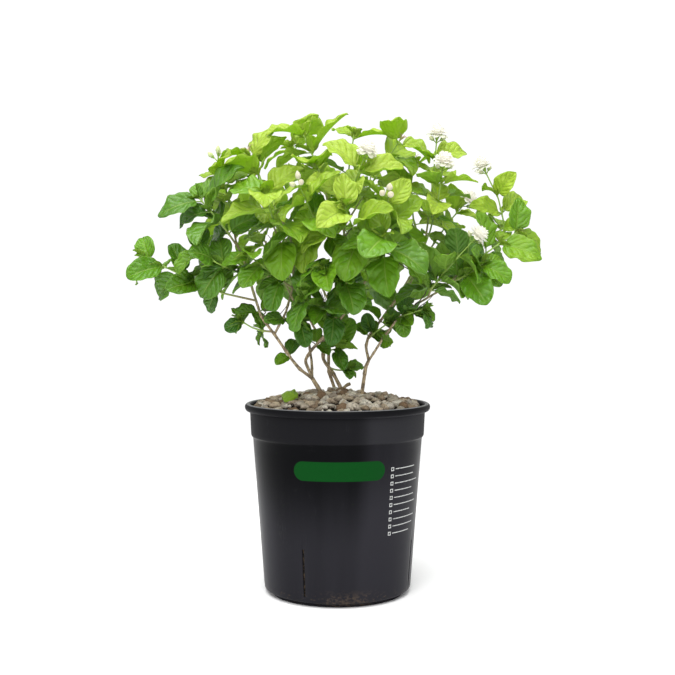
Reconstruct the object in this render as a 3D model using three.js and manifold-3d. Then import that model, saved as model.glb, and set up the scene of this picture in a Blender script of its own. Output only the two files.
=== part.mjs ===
// An Arabian jasmine in a black nursery pot: four woody stems stand in the growing medium,
// leafy shoots grow from them, and white double blooms open at some of the shoot tips.
// Units are millimetres, +Z is up, and the origin is the centre of the pot's underside.
import * as THREE from "three";
import { mergeVertices } from "three/addons/utils/BufferGeometryUtils.js";
import Module from "manifold-3d";

const wasm = await Module();
wasm.setup();

// Driving dimensions
const POT = {
  height: 246, // underside to the top of the rolled lip
  lipRadius: 121,
  lipHeight: 10,
  collarRadius: 114.2, // just under the lip
  collarFootRadius: 112.8,
  collarFoot: 204.5, // where the collar steps in to the body
  bodyTopRadius: 110.6,
  bodyFootRadius: 95.8,
  bodyFoot: 9,
  footRadius: 84.5, // the inset ring that the pot stands on
  footHeight: 5,
  wall: 1.6,
  floor: 2.4,
  sides: 32,
};
const SLITS = {
  angles: [-25, 70, 158, 247], // degrees round from the front
  width: 2.6,
  bottom: 13,
  top: 73,
  depth: 24,
};
const DRAINS = { count: 5, radius: 7, circle: 58, sides: 6, depth: 12 };
const MEDIUM_TOP = 226;
const GAP = 0.35; // between two pieces that touch
const MOUND = {
  edge: 236, // height at the pot's wall
  rise: 18,
  rings: 15, // of the net that the stones are raised from
  sides: 18, // divides six times rings
  stone: 7, // mean height
  shoulder: 0.66,
  spread: 1.1,
  tilt: 1.3,
  dip: 3,
};
const LEAF = {
  thickness: 1.3,
  width: 0.37, // half of the blade's width, as a share of its length
  petiole: 0.13,
  stalk: 0.8,
  sunk: 0.5,
  spare: 0.9, // between two leaves
  waves: 2.3,
  waveHeight: 0.17,
  sizes: [
    { over: 66, stations: [0, 0.2, 0.5, 0.8] },
    { over: 46, stations: [0, 0.25, 0.66] },
    { over: 0, stations: [0.2, 0.62] },
  ],
};
const WOOD_SIDES = 5;
const TWIG = { base: 1.8, tip: 1.1, sides: 3, spare: 0.8 };
const FALLEN_LEAF = {
  place: [-48, -32],
  length: 34,
  heading: 188, // degrees round from +X
  bend: 0.8,
  fold: -0.6, // its margins hang down over the stones
};
const BLOOM = {
  outer: 14.5,
  inner: 12,
  petals: 5,
  notch: 0.55,
  calyx: 5,
  heart: 10, // middle of the ball, above the calyx
};
const CROWN_AXIS = [0, 10];

// The woody stems, as routes of points in millimetres, with a thick and a thin end radius.
// Each stem is one piece, and its branches start on a point that they share.
const WOOD = {
  left: {
    trunk: { radius: [4.2, 3.6], route: [[-12, 0, 165], [-19, 0, 255], [-33, -2, 278]] },
    outer: {
      radius: [2.8, 1.7],
      route: [
        [-33, -2, 278], [-49, -8, 290], [-60, -14, 304], [-81, -25, 336], [-97, -36, 358],
        [-107, -46, 392], [-116, -52, 425], [-128, -50, 455],
      ],
    },
    inner: {
      radius: [2.1, 1.6],
      route: [[-81, -25, 336], [-66, -32, 364], [-57, -40, 395], [-55, -48, 430], [-60, -52, 462]],
    },
    across: {
      radius: [2.8, 1.7],
      route: [
        [-33, -2, 278], [-43, 3, 301], [-34, 0, 315], [-16, -10, 334], [2, -20, 353],
        [23, -34, 384], [38, -46, 408], [50, -56, 436], [58, -62, 462],
      ],
    },
    upright: {
      radius: [2, 1.6],
      route: [[23, -34, 384], [15, -36, 405], [6, -36, 432], [-4, -34, 462], [-8, -30, 490]],
    },
    rear: {
      radius: [2.3, 1.6],
      route: [
        [-33, -2, 278], [-34, 14, 298], [-40, 35, 335], [-60, 60, 380], [-80, 80, 420],
        [-92, 92, 450],
      ],
    },
  },
  middle: {
    trunk: {
      radius: [4, 1.7],
      route: [
        [14, 12, 165], [8, 12, 257], [-6, 14, 284], [-19, 16, 301], [-19, 20, 322],
        [-8, 26, 360], [4, 34, 405], [8, 40, 450], [10, 44, 490],
      ],
    },
    side: {
      radius: [2, 1.5],
      route: [[-19, 20, 322], [-40, 22, 360], [-62, 20, 410], [-75, 18, 455]],
    },
    stub: { radius: [3, 2.6], route: [[6, 12, 261], [11, 10, 268], [17, 9, 270]] },
  },
  back: {
    trunk: {
      radius: [3.6, 1.7],
      route: [
        [0, 40, 165], [-4, 38, 262], [-12, 38, 285], [-12, 50, 315], [0, 70, 355],
        [18, 95, 400], [30, 110, 440],
      ],
    },
    side: { radius: [2, 1.5], route: [[0, 70, 355], [-20, 95, 395], [-35, 118, 430]] },
  },
  right: {
    trunk: {
      radius: [3.4, 3],
      route: [[30, 5, 165], [32, 5, 257], [37, 3, 293], [41, 2, 301]],
    },
    upper: {
      radius: [2.5, 1.7],
      route: [
        [41, 2, 301], [37, 6, 319], [41, 8, 333], [56, 12, 352], [80, 18, 385],
        [102, 20, 420], [115, 18, 450],
      ],
    },
    lower: {
      radius: [2.1, 1.6],
      route: [
        [41, 2, 301], [51, -4, 317], [60, -10, 332], [76, -20, 354], [100, -32, 374],
        [130, -42, 392], [150, -46, 410],
      ],
    },
    rear: {
      radius: [2, 1.5],
      route: [[56, 12, 352], [75, 35, 375], [100, 60, 405], [118, 80, 435]],
    },
  },
};

// The leafy shoots. Each starts on a branch at a share of its route, passes its points and bears
// pairs of leaves, whose length is that of the largest. ends says what the tip carries.
const SHOOTS = {
  far_left: {
    on: ["left", "outer", 0.66], via: [[-156, -48, 392], [-204, -52, 416], [-242, -50, 430]],
    pairs: 5, leaf: 52, face: [0.1, -1, 0.5], turn: 1.2,
  },
  left_low: {
    on: ["left", "outer", 0.8], via: [[-140, -72, 420], [-170, -80, 440]],
    pairs: 4, leaf: 52, face: [-0.3, -1, 0.6],
  },
  left_mid: {
    on: ["left", "outer", 0.95], via: [[-146, -62, 476], [-172, -62, 506]],
    pairs: 4, leaf: 68, face: [-0.4, -1, 0.8],
  },
  left_upper: {
    on: ["left", "outer", 1], via: [[-138, -40, 508], [-152, -32, 556]],
    pairs: 4, leaf: 62, ends: "buds",
  },
  left_top: {
    on: ["left", "inner", 1], via: [[-88, -45, 514], [-112, -38, 566]],
    pairs: 4, leaf: 66,
  },
  left_rear: {
    on: ["left", "rear", 1], via: [[-122, 95, 490], [-160, 88, 530]],
    pairs: 3, leaf: 62,
  },
  left_rear_low: {
    on: ["left", "rear", 0.75], via: [[-118, 88, 418], [-162, 92, 436]],
    pairs: 3, leaf: 60,
  },
  front_left: {
    on: ["left", "inner", 0.85], via: [[-74, -86, 468], [-88, -112, 508]],
    pairs: 4, leaf: 70,
  },
  front_left_low: {
    on: ["left", "inner", 0.5], via: [[-80, -74, 412], [-108, -104, 434]],
    pairs: 4, leaf: 56,
  },
  front_mid_left: {
    on: ["left", "upright", 0.7], via: [[-22, -78, 468], [-44, -118, 512]],
    pairs: 4, leaf: 68, ends: "buds",
  },
  front_mid: {
    on: ["left", "across", 0.85], via: [[26, -92, 452], [8, -128, 490]],
    pairs: 4, leaf: 70,
  },
  front_mid_low: {
    on: ["left", "across", 0.66], via: [[8, -72, 402], [-16, -112, 420]],
    pairs: 4, leaf: 62,
  },
  front_low: {
    on: ["left", "across", 0.5], via: [[-12, -56, 368], [-40, -92, 382]],
    pairs: 3, leaf: 56,
  },
  front_right: {
    on: ["left", "across", 1], via: [[64, -94, 474], [60, -122, 500]],
    pairs: 4, leaf: 62, ends: "buds",
  },
  front_right_low: {
    on: ["left", "across", 0.93], via: [[58, -100, 434], [56, -130, 456]],
    pairs: 4, leaf: 70,
  },
  crown_left: {
    on: ["left", "upright", 1], via: [[-24, -26, 546], [-44, -18, 592]],
    pairs: 4, leaf: 70,
  },
  crown_front: {
    on: ["left", "upright", 0.9], via: [[14, -68, 508], [33, -88, 554]],
    pairs: 4, leaf: 62, ends: "bloom",
  },
  crown_top: {
    on: ["middle", "trunk", 1], via: [[14, 38, 548], [22, 30, 600]],
    pairs: 4, leaf: 70, face: [-0.2, -0.6, 1],
  },
  crown_rear_left: {
    on: ["middle", "trunk", 0.95], via: [[-28, 52, 532], [-60, 52, 588]],
    pairs: 3, leaf: 66,
  },
  crown_right: {
    on: ["middle", "trunk", 0.97], via: [[50, 24, 542], [82, 10, 590]],
    pairs: 4, leaf: 66,
  },
  crown_rear: {
    on: ["middle", "trunk", 0.85], via: [[8, 96, 500], [-8, 130, 544]],
    pairs: 3, leaf: 66,
  },
  inside_left: {
    on: ["middle", "side", 1], via: [[-96, 14, 508], [-108, 12, 562]],
    pairs: 3, leaf: 62,
  },
  inside_rear: {
    on: ["middle", "side", 0.8], via: [[-92, 40, 446], [-130, 40, 484]],
    pairs: 3, leaf: 60,
  },
  back_right: {
    on: ["back", "trunk", 0.95], via: [[62, 124, 476], [92, 144, 514]],
    pairs: 3, leaf: 66,
  },
  back_top: {
    on: ["back", "trunk", 1], via: [[38, 128, 500], [48, 124, 562]],
    pairs: 3, leaf: 66, ends: "bloom",
  },
  back_left: {
    on: ["back", "side", 1], via: [[-62, 136, 466], [-96, 146, 502]],
    pairs: 3, leaf: 64,
  },
  back_left_low: {
    on: ["back", "side", 0.7], via: [[-58, 126, 408], [-92, 142, 416]],
    pairs: 3, leaf: 58,
  },
  back_low: {
    on: ["back", "trunk", 0.72], via: [[42, 116, 402], [56, 148, 414]],
    pairs: 3, leaf: 56,
  },
  right_top: {
    on: ["right", "upper", 1], via: [[122, -4, 516], [127, -22, 584]],
    pairs: 4, leaf: 60, ends: "bloom",
  },
  right_tall: {
    on: ["right", "upper", 0.9], via: [[160, 14, 444], [214, 4, 462], [212, -2, 504], [192, -6, 546]],
    pairs: 5, leaf: 52, ends: "bloom", face: [0.2, -1, 0.5], turn: 0.6,
  },
  right_out: {
    on: ["right", "lower", 1], via: [[186, -42, 438], [228, -38, 466]],
    pairs: 4, leaf: 56, face: [0.3, -1, 0.7], turn: 0.4,
  },
  right_low: {
    on: ["right", "lower", 0.92], via: [[160, -64, 410], [180, -72, 424]],
    pairs: 4, leaf: 58, face: [0.2, -1, 0.6],
  },
  right_front: {
    on: ["right", "lower", 0.75], via: [[122, -72, 402], [166, -84, 452]],
    pairs: 4, leaf: 56, ends: "bloom",
  },
  right_shoulder: {
    on: ["right", "upper", 0.93], via: [[122, -48, 484], [130, -72, 542]],
    pairs: 4, leaf: 58, ends: "bloom",
  },
  right_under: {
    on: ["right", "lower", 0.5], via: [[88, -40, 362], [108, -50, 368]],
    pairs: 3, leaf: 38,
  },
  right_rear: {
    on: ["right", "rear", 1], via: [[146, 84, 478], [174, 78, 512]],
    pairs: 3, leaf: 62, ends: "bloom",
  },
  right_rear_low: {
    on: ["right", "rear", 0.8], via: [[136, 84, 414], [172, 88, 430]],
    pairs: 3, leaf: 60,
  },
  right_inside: {
    on: ["right", "upper", 0.97], via: [[98, 42, 510], [104, 56, 568]],
    pairs: 3, leaf: 64,
  },
  sprig_left: {
    on: ["left", "outer", 0.45], via: [[-104, -26, 342], [-122, -26, 352]],
    pairs: 2, leaf: 40, face: [0, -1, 0.5],
  },
  sprig_middle: {
    on: ["middle", "trunk", 0.42], via: [[-12, 2, 314], [-2, -6, 316]],
    pairs: 1, leaf: 50, face: [0, -0.8, 1],
  },
  sprig_right: {
    on: ["right", "upper", 0.28], via: [[52, -2, 340], [66, -8, 350]],
    pairs: 2, leaf: 36, face: [0, -1, 0.5],
  },
  sprig_inner: {
    on: ["left", "inner", 0.2], via: [[-62, -40, 352], [-46, -50, 352]],
    pairs: 2, leaf: 42, face: [0, -1, 0.5],
  },
  sprig_low: {
    on: ["middle", "trunk", 0.3], via: [[2, 0, 288], [12, -6, 290]],
    pairs: 1, leaf: 32, face: [0, -0.8, 1],
  },
};

// Ways to set a leaf that would touch another: degrees round the stem, degrees up, share of its size.
const SETTINGS = [
  [0, 0, 1], [22, 0, 1], [-22, 0, 1], [0, 20, 1], [0, -20, 1], [32, 14, 0.92], [-32, -14, 0.92],
  [40, -12, 0.85], [-40, 12, 0.85], [0, 0, 0.78], [0, 34, 0.8], [0, -34, 0.75],
  [60, 0, 0.72], [-60, 0, 0.72],
];

const TURN = 2 * Math.PI;
const UP = new THREE.Vector3(0, 0, 1);
const { degToRad } = THREE.MathUtils;
const vec = (p) => new THREE.Vector3(...p);
const cross = (a, b) => new THREE.Vector3().crossVectors(a, b);

// The sum of vectors, each times a share of its own
const mix = (...pairs) => {
  const sum = new THREE.Vector3();
  for (const [v, share] of pairs) sum.addScaledVector(v, share);
  return sum;
};

// The point at an angle and a radius round a middle, in the plane of two directions
const around = (middle, [side, other], radius, angle) =>
  mix([middle, 1], [side, radius * Math.cos(angle)], [other, radius * Math.sin(angle)]);

// A sequence of draws between 0 and 1 that depends on its seed alone.
function draws(seed) {
  let state = 1000003 + seed * 7919;
  const next = () => {
    state = (state * 48271) % 2147483647;
    return state / 2147483647;
  };
  next();
  next();
  return next;
}

// Solids from three.js geometry, and back
const MERGE = 1e-4; // vertices nearer than this are one

function solid(geometry) {
  const bare = new THREE.BufferGeometry()
    .setAttribute("position", geometry.getAttribute("position").clone())
    .setIndex(geometry.index);
  const merged = mergeVertices(bare, MERGE);
  return new wasm.Manifold(
    new wasm.Mesh({
      numProp: 3,
      vertProperties: new Float32Array(merged.attributes.position.array),
      triVerts: new Uint32Array(merged.index.array),
    }),
  );
}

function geometryOf(body) {
  const { vertProperties, triVerts } = body.getMesh();
  return new THREE.BufferGeometry()
    .setAttribute("position", new THREE.BufferAttribute(new Float32Array(vertProperties), 3))
    .setIndex(new THREE.BufferAttribute(new Uint32Array(triVerts), 1));
}

const joined = (bodies) => bodies.reduce((a, b) => a.add(b));
const largest = (body) => body.decompose().reduce((a, b) => (a.volume() >= b.volume() ? a : b));

// A closed skin through rings of equally many points, which run anticlockwise round the way that
// the rings follow each other, with a flat fan over each end. A ring of one repeated point closes
// to a tip. The diagonals lean in turn, so that a blade's two faces are split alike.
function loft(rings) {
  const n = rings[0].length;
  const index = [];
  for (let k = 0; k + 1 < rings.length; k++)
    for (let i = 0; i < n; i++) {
      const [a, b] = [k * n + i, k * n + ((i + 1) % n)];
      if (i % 2) index.push(a, b, a + n, b, b + n, a + n);
      else index.push(a, b, b + n, a, b + n, a + n);
    }
  const last = (rings.length - 1) * n;
  for (let i = 1; i + 1 < n; i++) index.push(0, i + 1, i, last, last + i, last + i + 1);
  const geometry = new THREE.BufferGeometry().setFromPoints(rings.flat()).setIndex(index);
  const merged = mergeVertices(geometry, MERGE);
  const kept = [];
  for (let i = 0; i < merged.index.count; i += 3) {
    const [a, b, c] = [0, 1, 2].map((j) => merged.index.getX(i + j));
    if (a !== b && b !== c && a !== c) kept.push(a, b, c);
  }
  return solid(merged.setIndex(kept));
}

// A curve through points, and the number of straight stretches that a tube along it has
function pathThrough(points, steps) {
  const curve = new THREE.CatmullRomCurve3(points.map(vec), false, "catmullrom", 0.5);
  return { curve, steps };
}

// The point at a share of the path's straight stretches, which is the tube's own centre line there
function pointOn({ curve, steps }, share) {
  const k = Math.min(Math.floor(share * steps), steps - 1);
  return curve.getPoint(k / steps).lerp(curve.getPoint((k + 1) / steps), share * steps - k);
}

// A tube with a few flat sides along a path, whose radius changes evenly from end to end
function tube({ curve, steps }, [from, to], sides, grow = 0) {
  const rings = [];
  const first = curve.getTangent(0);
  let side = cross(first, Math.abs(first.x) < 0.7 ? vec([1, 0, 0]) : UP);
  for (let k = 0; k <= steps; k++) {
    const t = k / steps;
    const tangent = curve.getTangent(t);
    side = side.addScaledVector(tangent, -side.dot(tangent)).normalize();
    const plane = [side, cross(tangent, side)];
    const radius = from + (to - from) * t + grow;
    const corner = (_, i) => around(curve.getPoint(t), plane, radius, (i / sides) * TURN);
    rings.push(Array.from({ length: sides }, corner));
  }
  return loft(rings);
}

// Pot
const COLLAR_STEP = 2.5; // how far below the collar's foot the body ends
const CHAMFER = 0.8; // on the lip's and the foot's edges

const innerRadius = (z) => {
  const share = Math.min((z - POT.bodyFoot) / (POT.collarFoot - POT.bodyFoot), 1);
  return POT.bodyFootRadius + (POT.bodyTopRadius - POT.bodyFootRadius) * share - POT.wall;
};

function lathe(profile, sides) {
  const points = profile.map(([r, z]) => new THREE.Vector2(r, z));
  return solid(new THREE.LatheGeometry(points, sides).rotateX(Math.PI / 2));
}

function pot() {
  const lipFoot = POT.height - POT.lipHeight;
  const profile = [
    [0, 0],
    [POT.footRadius, 0],
    [POT.footRadius + CHAMFER, POT.footHeight],
    [POT.bodyFootRadius, POT.bodyFoot],
    [POT.bodyTopRadius, POT.collarFoot - COLLAR_STEP],
    [POT.collarFootRadius, POT.collarFoot],
    [POT.collarRadius, lipFoot],
    [POT.lipRadius - CHAMFER, lipFoot],
    [POT.lipRadius, POT.height - 3],
    [POT.lipRadius - 2.6, POT.height],
    [POT.collarRadius - POT.wall, POT.height - 1.5],
    [POT.collarFootRadius - POT.wall, POT.collarFoot + 1],
    [innerRadius(POT.collarFoot), POT.collarFoot - COLLAR_STEP - 1],
    [innerRadius(POT.bodyFoot), POT.bodyFoot],
    [POT.footRadius - POT.wall, POT.floor],
    [0, POT.floor],
  ];
  let body = lathe(profile, POT.sides);
  for (const angle of SLITS.angles) {
    const tall = SLITS.top - SLITS.bottom;
    const cutter = new THREE.BoxGeometry(SLITS.width, SLITS.depth, tall);
    cutter.translate(0, -POT.bodyFootRadius, SLITS.bottom + tall / 2).rotateZ(degToRad(angle));
    body = body.subtract(solid(cutter));
  }
  for (let i = 0; i < DRAINS.count; i++) {
    const { radius, depth, sides, circle, count } = DRAINS;
    const cutter = new THREE.CylinderGeometry(radius, radius, depth, sides).rotateX(Math.PI / 2);
    cutter.translate(circle, 0, 0).rotateZ((i / count) * TURN);
    body = body.subtract(solid(cutter));
  }
  return body;
}

// Growing medium and its stone mulch
const MULCH_RADIUS = POT.collarFootRadius - POT.wall - 1.2;

function medium() {
  const r = (z) => innerRadius(z) - GAP - 0.4;
  const profile = [
    [0, POT.floor + GAP],
    [POT.footRadius - POT.wall - 1, POT.floor + GAP],
    [r(POT.bodyFoot) - 0.4, POT.bodyFoot + 2],
    [r(POT.collarFoot), POT.collarFoot - 2 * COLLAR_STEP],
    [MULCH_RADIUS, MEDIUM_TOP],
    [0, MEDIUM_TOP],
  ];
  return lathe(profile, MOUND.sides);
}

const moundHeight = (r) => MOUND.edge + MOUND.rise * (1 - (r / POT.collarFootRadius) ** 2);

// The net under the mulch has rings of 6, 12, 18 and so on points round the middle one. q and r
// count a point's steps along the first two of the six ways from it.
const WAYS = [[1, 0], [0, 1], [-1, 1], [-1, 0], [0, -1], [1, -1]];
const at = (net, q, r) => net.get(q + "," + r);
const isHeart = ({ q, r }) => q % 2 === 0 && (q - r) % 6 === 0;

function mulchNet() {
  const net = new Map();
  for (let ring = 0; ring <= MOUND.rings; ring++) {
    const count = Math.max(6 * ring, 1);
    for (let j = 0; j < count; j++) {
      const corner = ring ? Math.floor(j / ring) : 0;
      const past = ring ? j % ring : 0;
      const along = (i) => WAYS[corner][i] * ring + WAYS[(corner + 2) % 6][i] * past;
      const [q, r] = [along(0), along(1)];
      const radius = (ring / MOUND.rings) * MULCH_RADIUS;
      const [x, y] = [radius * Math.cos((j / count) * TURN), radius * Math.sin((j / count) * TURN)];
      net.set(q + "," + r, { q, r, ring, index: net.size, x, y });
    }
  }
  return net;
}

// A stone is a net point, its heart, with the six round it. They are raised, tilted and spread, and
// the net's points between the stones are dips.
function mulchPoint(net, point) {
  const { q, r, ring, x, y, index } = point;
  const ground = moundHeight(Math.hypot(x, y));
  if (ring === MOUND.rings) return vec([x, y, MOUND.edge]);
  const near = [[0, 0], ...WAYS].map(([i, j]) => at(net, q + i, r + j));
  const heart = near.find(isHeart);
  if (!heart || heart.ring === MOUND.rings) return vec([x, y, ground - MOUND.dip]);
  const next = draws(heart.index + 5);
  const height = MOUND.stone * (0.7 + 0.6 * next());
  const lean = TURN * next();
  if (heart === point) return vec([x, y, ground + height]);
  const tilt = MOUND.tilt * Math.cos(lean + Math.atan2(y - heart.y, x - heart.x));
  const spread = MOUND.spread + 0.25 * draws(index)();
  return vec([
    heart.x + spread * (x - heart.x),
    heart.y + spread * (y - heart.y),
    ground + MOUND.shoulder * height + tilt,
  ]);
}

function mulch() {
  const net = mulchNet();
  const points = [...net.values()].map((point) => mulchPoint(net, point));
  const triangles = [];
  for (let q = -MOUND.rings - 1; q <= MOUND.rings; q++)
    for (let r = -MOUND.rings - 1; r <= MOUND.rings; r++) {
      const [a, b, c, d] = [[0, 0], [1, 0], [0, 1], [1, 1]].map(([i, j]) => at(net, q + i, r + j));
      if (a && b && c) triangles.push(a.index, b.index, c.index);
      if (b && c && d) triangles.push(b.index, d.index, c.index);
    }
  // The skirt and the underside: each of their points stands under several of the net's rim.
  const rim = 6 * MOUND.rings;
  const first = net.size - rim;
  const span = rim / MOUND.sides;
  const low = points.length;
  for (let i = 0; i < MOUND.sides; i++) {
    const { x, y } = points[first + i * span];
    points.push(vec([x, y, MEDIUM_TOP + GAP]));
    const [here, after] = [low + i, low + ((i + 1) % MOUND.sides)];
    for (let j = i * span; j < (i + 1) * span; j++)
      triangles.push(here, first + ((j + 1) % rim), first + j);
    triangles.push(here, after, first + (((i + 1) * span) % rim));
    if (i > 0 && i + 1 < MOUND.sides) triangles.push(low, after, here);
  }
  return solid(new THREE.BufferGeometry().setFromPoints(points).setIndex(triangles));
}

// Wood
const branchPath = (route) => pathThrough(route, route.length - 1);

function woodyStem(branches, grow) {
  const limb = ({ radius, route }) => tube(branchPath(route), radius, WOOD_SIDES, grow);
  return joined(Object.values(branches).map(limb));
}

// Leaves
const ovate = (u) => (u ** 0.5 * (1 - u) ** 0.7) / 0.4426; // 1 at its widest, which is at u = 0.42

// A leaf's midrib is a circular arc that starts along direction and bends away from normal.
function midrib(leaf, t) {
  const turn = leaf.bend * t;
  const point = mix(
    [leaf.base, 1],
    [leaf.direction, (leaf.length * Math.sin(turn)) / leaf.bend],
    [leaf.normal, (-leaf.length * (1 - Math.cos(turn))) / leaf.bend],
  );
  const normal = mix([leaf.direction, Math.sin(turn)], [leaf.normal, Math.cos(turn)]);
  return { point, normal };
}

// The four points of a leaf's cross-section: right margin, lower midrib, left margin, upper midrib.
function leafRing(leaf, t, thick, grow = 0) {
  const { point, normal } = midrib(leaf, t);
  const u = Math.max(0, (t - LEAF.petiole) / (1 - LEAF.petiole));
  const half = Math.max(LEAF.stalk, leaf.width * ovate(Math.min(u, 1))) + grow;
  const margin = (sign) => {
    const wave = LEAF.waveHeight * Math.sin(TURN * LEAF.waves * u + leaf.phase + sign);
    const lift = u > 0 && u < 1 ? half * (Math.sin(leaf.fold) + wave) : 0;
    return mix([point, 1], [leaf.side, sign * half * Math.cos(leaf.fold)], [normal, lift]);
  };
  const rib = (way) => mix([point, 1], [normal, (way * thick) / 2]);
  return [margin(1), rib(-1), margin(-1), rib(1)];
}

// Where a leaf has its cross-sections: a small leaf does with fewer.
function bladeStations(leaf) {
  const { stations } = LEAF.sizes.find(({ over }) => leaf.length > over);
  return stations.map((u) => LEAF.petiole + u * (1 - LEAF.petiole));
}

function leafSolid(leaf) {
  const rings = bladeStations(leaf).map((t) => leafRing(leaf, t, LEAF.thickness));
  const root = leaf.base.clone().addScaledVector(leaf.direction, -LEAF.sunk);
  const tip = midrib(leaf, 1).point;
  return loft([Array(4).fill(root), ...rings, Array(4).fill(tip)]);
}

// The room that a leaf takes is a little larger than the leaf all round, and starts past its root.
function leafRoom(leaf) {
  const { spare, thickness } = LEAF;
  const room = (t, grow) => leafRing(leaf, t, thickness + 2 * grow, grow);
  return loft([...[0.09, ...bladeStations(leaf)].map((t) => room(t, spare)), room(1.03, spare / 4)]);
}

// The frame that a leaf grows in, at a point of a shoot, and the light that it turns to.
function leafOn({ point, tangent, spin, lift, length, face, share, draw }) {
  const outward = vec([point.x - CROWN_AXIS[0], point.y - CROWN_AXIS[1], 0]).normalize();
  const first = cross(Math.abs(tangent.z) < 0.8 ? UP : outward, tangent).normalize();
  const away = mix([first, Math.cos(spin)], [cross(tangent, first), Math.sin(spin)]);
  const sway = vec([Math.cos(TURN * draw.sway), Math.sin(TURN * draw.sway), 0]);
  const sky = face ? vec(face) : mix([UP, 0.75], [outward, 0.35]);
  const light = mix([sky, 1], [sway, 0.45]).normalize();
  const start = mix([away, 1], [tangent, 0.15 + 0.5 * share], [outward, 0.2], [UP, 0.1]).normalize();
  const facing = mix([light, 1], [start, -light.dot(start)]).normalize();
  const direction = mix([start, Math.cos(lift)], [facing, Math.sin(lift)]);
  const normal = mix([facing, Math.cos(lift)], [start, -Math.sin(lift)]);
  return {
    base: point,
    direction,
    normal,
    side: cross(direction, normal),
    length,
    width: length * LEAF.width,
    bend: 0.45 + 0.85 * draw.bend,
    fold: 0.12 + 0.38 * draw.fold,
    phase: TURN * draw.phase,
  };
}

// All leaves of a shoot, each as a function of its setting: opposite pairs, each pair a quarter
// turn round from the one before.
function leavesOf(shoot, path, seed) {
  const next = draws(seed);
  const turned = shoot.turn ?? TURN * next();
  const leaves = [];
  for (let pair = 0; pair < shoot.pairs; pair++) {
    const share = shoot.pairs > 1 ? pair / (shoot.pairs - 1) : 1;
    const t = 0.3 + (shoot.ends ? 0.54 : 0.66) * share;
    for (let half = 0; half < 2; half++) {
      const draw = {};
      for (const name of ["turn", "size", "sway", "bend", "fold", "phase", "shift"])
        draw[name] = next();
      const size = (1 - 0.35 * Math.abs(share - 0.55)) * (0.82 + 0.32 * draw.size);
      const spin = turned + Math.PI * (pair / 2 + half) + 0.6 * (draw.turn - 0.5);
      leaves.push(([turn, lift, part]) =>
        leafOn({
          point: pointOn(path, t - 0.03 * draw.shift),
          tangent: path.curve.getTangent(t),
          spin: spin + degToRad(turn),
          lift: degToRad(lift),
          length: shoot.leaf * size * part,
          face: shoot.face,
          share,
          draw,
        }),
      );
    }
  }
  return leaves;
}

// Blooms and buds
// Two directions square to an axis and to each other
function across(axis) {
  const side = cross(axis, vec([0.3, 1, 0.1])).normalize();
  return [side, cross(axis, side)];
}

// A spindle with four sides along an axis, through stations of distance and radius
function spindle(point, axis, stations) {
  const rings = stations.map(([along, radius]) => {
    const middle = mix([point, 1], [axis, along]);
    return [0, 1, 2, 3].map((i) => around(middle, across(axis), radius, (i / 4) * TURN));
  });
  return loft(rings);
}

const calyx = (point, axis) => spindle(point, axis, [[-1, 1], [BLOOM.calyx, 2.8]]);

// A pale bud: a slim stalk that swells to a pointed egg.
const bud = (point, axis, length) =>
  spindle(point, axis, [[-0.05 * length, 0], [0.45 * length, 0.9], [0.72 * length, 3.6], [length, 0]]);

// A double bloom in one skin: it rises from the foot under the outer petals to their rims, dips to
// the valley inside them, rises again to the rims of the inner petals, and closes over the heart.
function bloom(point, axis, seed) {
  const next = draws(seed);
  const plane = across(axis);
  const foot = mix([point, 1], [axis, BLOOM.calyx + GAP]);
  const count = 3 * BLOOM.petals; // each petal has a notch and two points of rim
  const ring = (rise, radius, whorl) => {
    const sizes = Array.from({ length: BLOOM.petals }, () => 0.88 + 0.18 * next());
    return Array.from({ length: count }, (_, i) => {
      const place = (i + (whorl ?? 0)) % count;
      const notch = whorl !== undefined && place % 3 === 0;
      const rim = whorl === undefined ? 1 : sizes[Math.floor(place / 3)];
      const middle = mix([foot, 1], [axis, notch ? rise * 0.7 : rise]);
      return around(middle, plane, radius * (notch ? BLOOM.notch : rim), (i / count) * TURN);
    });
  };
  return loft([
    ring(0, 1.9),
    ring(7.5, BLOOM.outer, 0),
    ring(5.5, 6.5),
    ring(15, BLOOM.inner, 1),
    ring(11, 5),
    ring(18.5, 6.5, 2),
    ring(19.5, 0),
  ]);
}

// Three buds that spread from a shoot's tip
function budHead(point, axis) {
  return [0, 1, 2].map((i) => {
    const way = around(axis, across(axis), 0.62, (i / 3) * TURN + 0.4).normalize();
    return bud(point, way, 19 + 3 * i);
  });
}

// The tip of a shoot: what belongs to the shoot, and the bloom, which is a piece of its own.
function ending(ends, tip, axis, seed) {
  if (ends === "buds") return { heads: budHead(tip, axis), flower: null };
  if (ends === "bloom") return { heads: [calyx(tip, axis)], flower: bloom(tip, axis, seed) };
  return { heads: [], flower: null };
}

// Everything that a leaf must keep clear of, with its box, so that only near ones are cut against
// each other. A leaf may meet the twig and the buds of its own shoot.
const placed = [];
const place = (body, owner, leaf = false) =>
  placed.push({ body, box: body.boundingBox(), owner, leaf });
const apart = (a, b) => [0, 1, 2].some((i) => a.min[i] > b.max[i] || b.min[i] > a.max[i]);

function fits(room, owner) {
  const box = room.boundingBox();
  return placed.every((other) => {
    if (apart(box, other.box)) return true;
    if (other.owner === owner && !other.leaf) return true;
    return other.body.intersect(room).isEmpty();
  });
}

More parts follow.
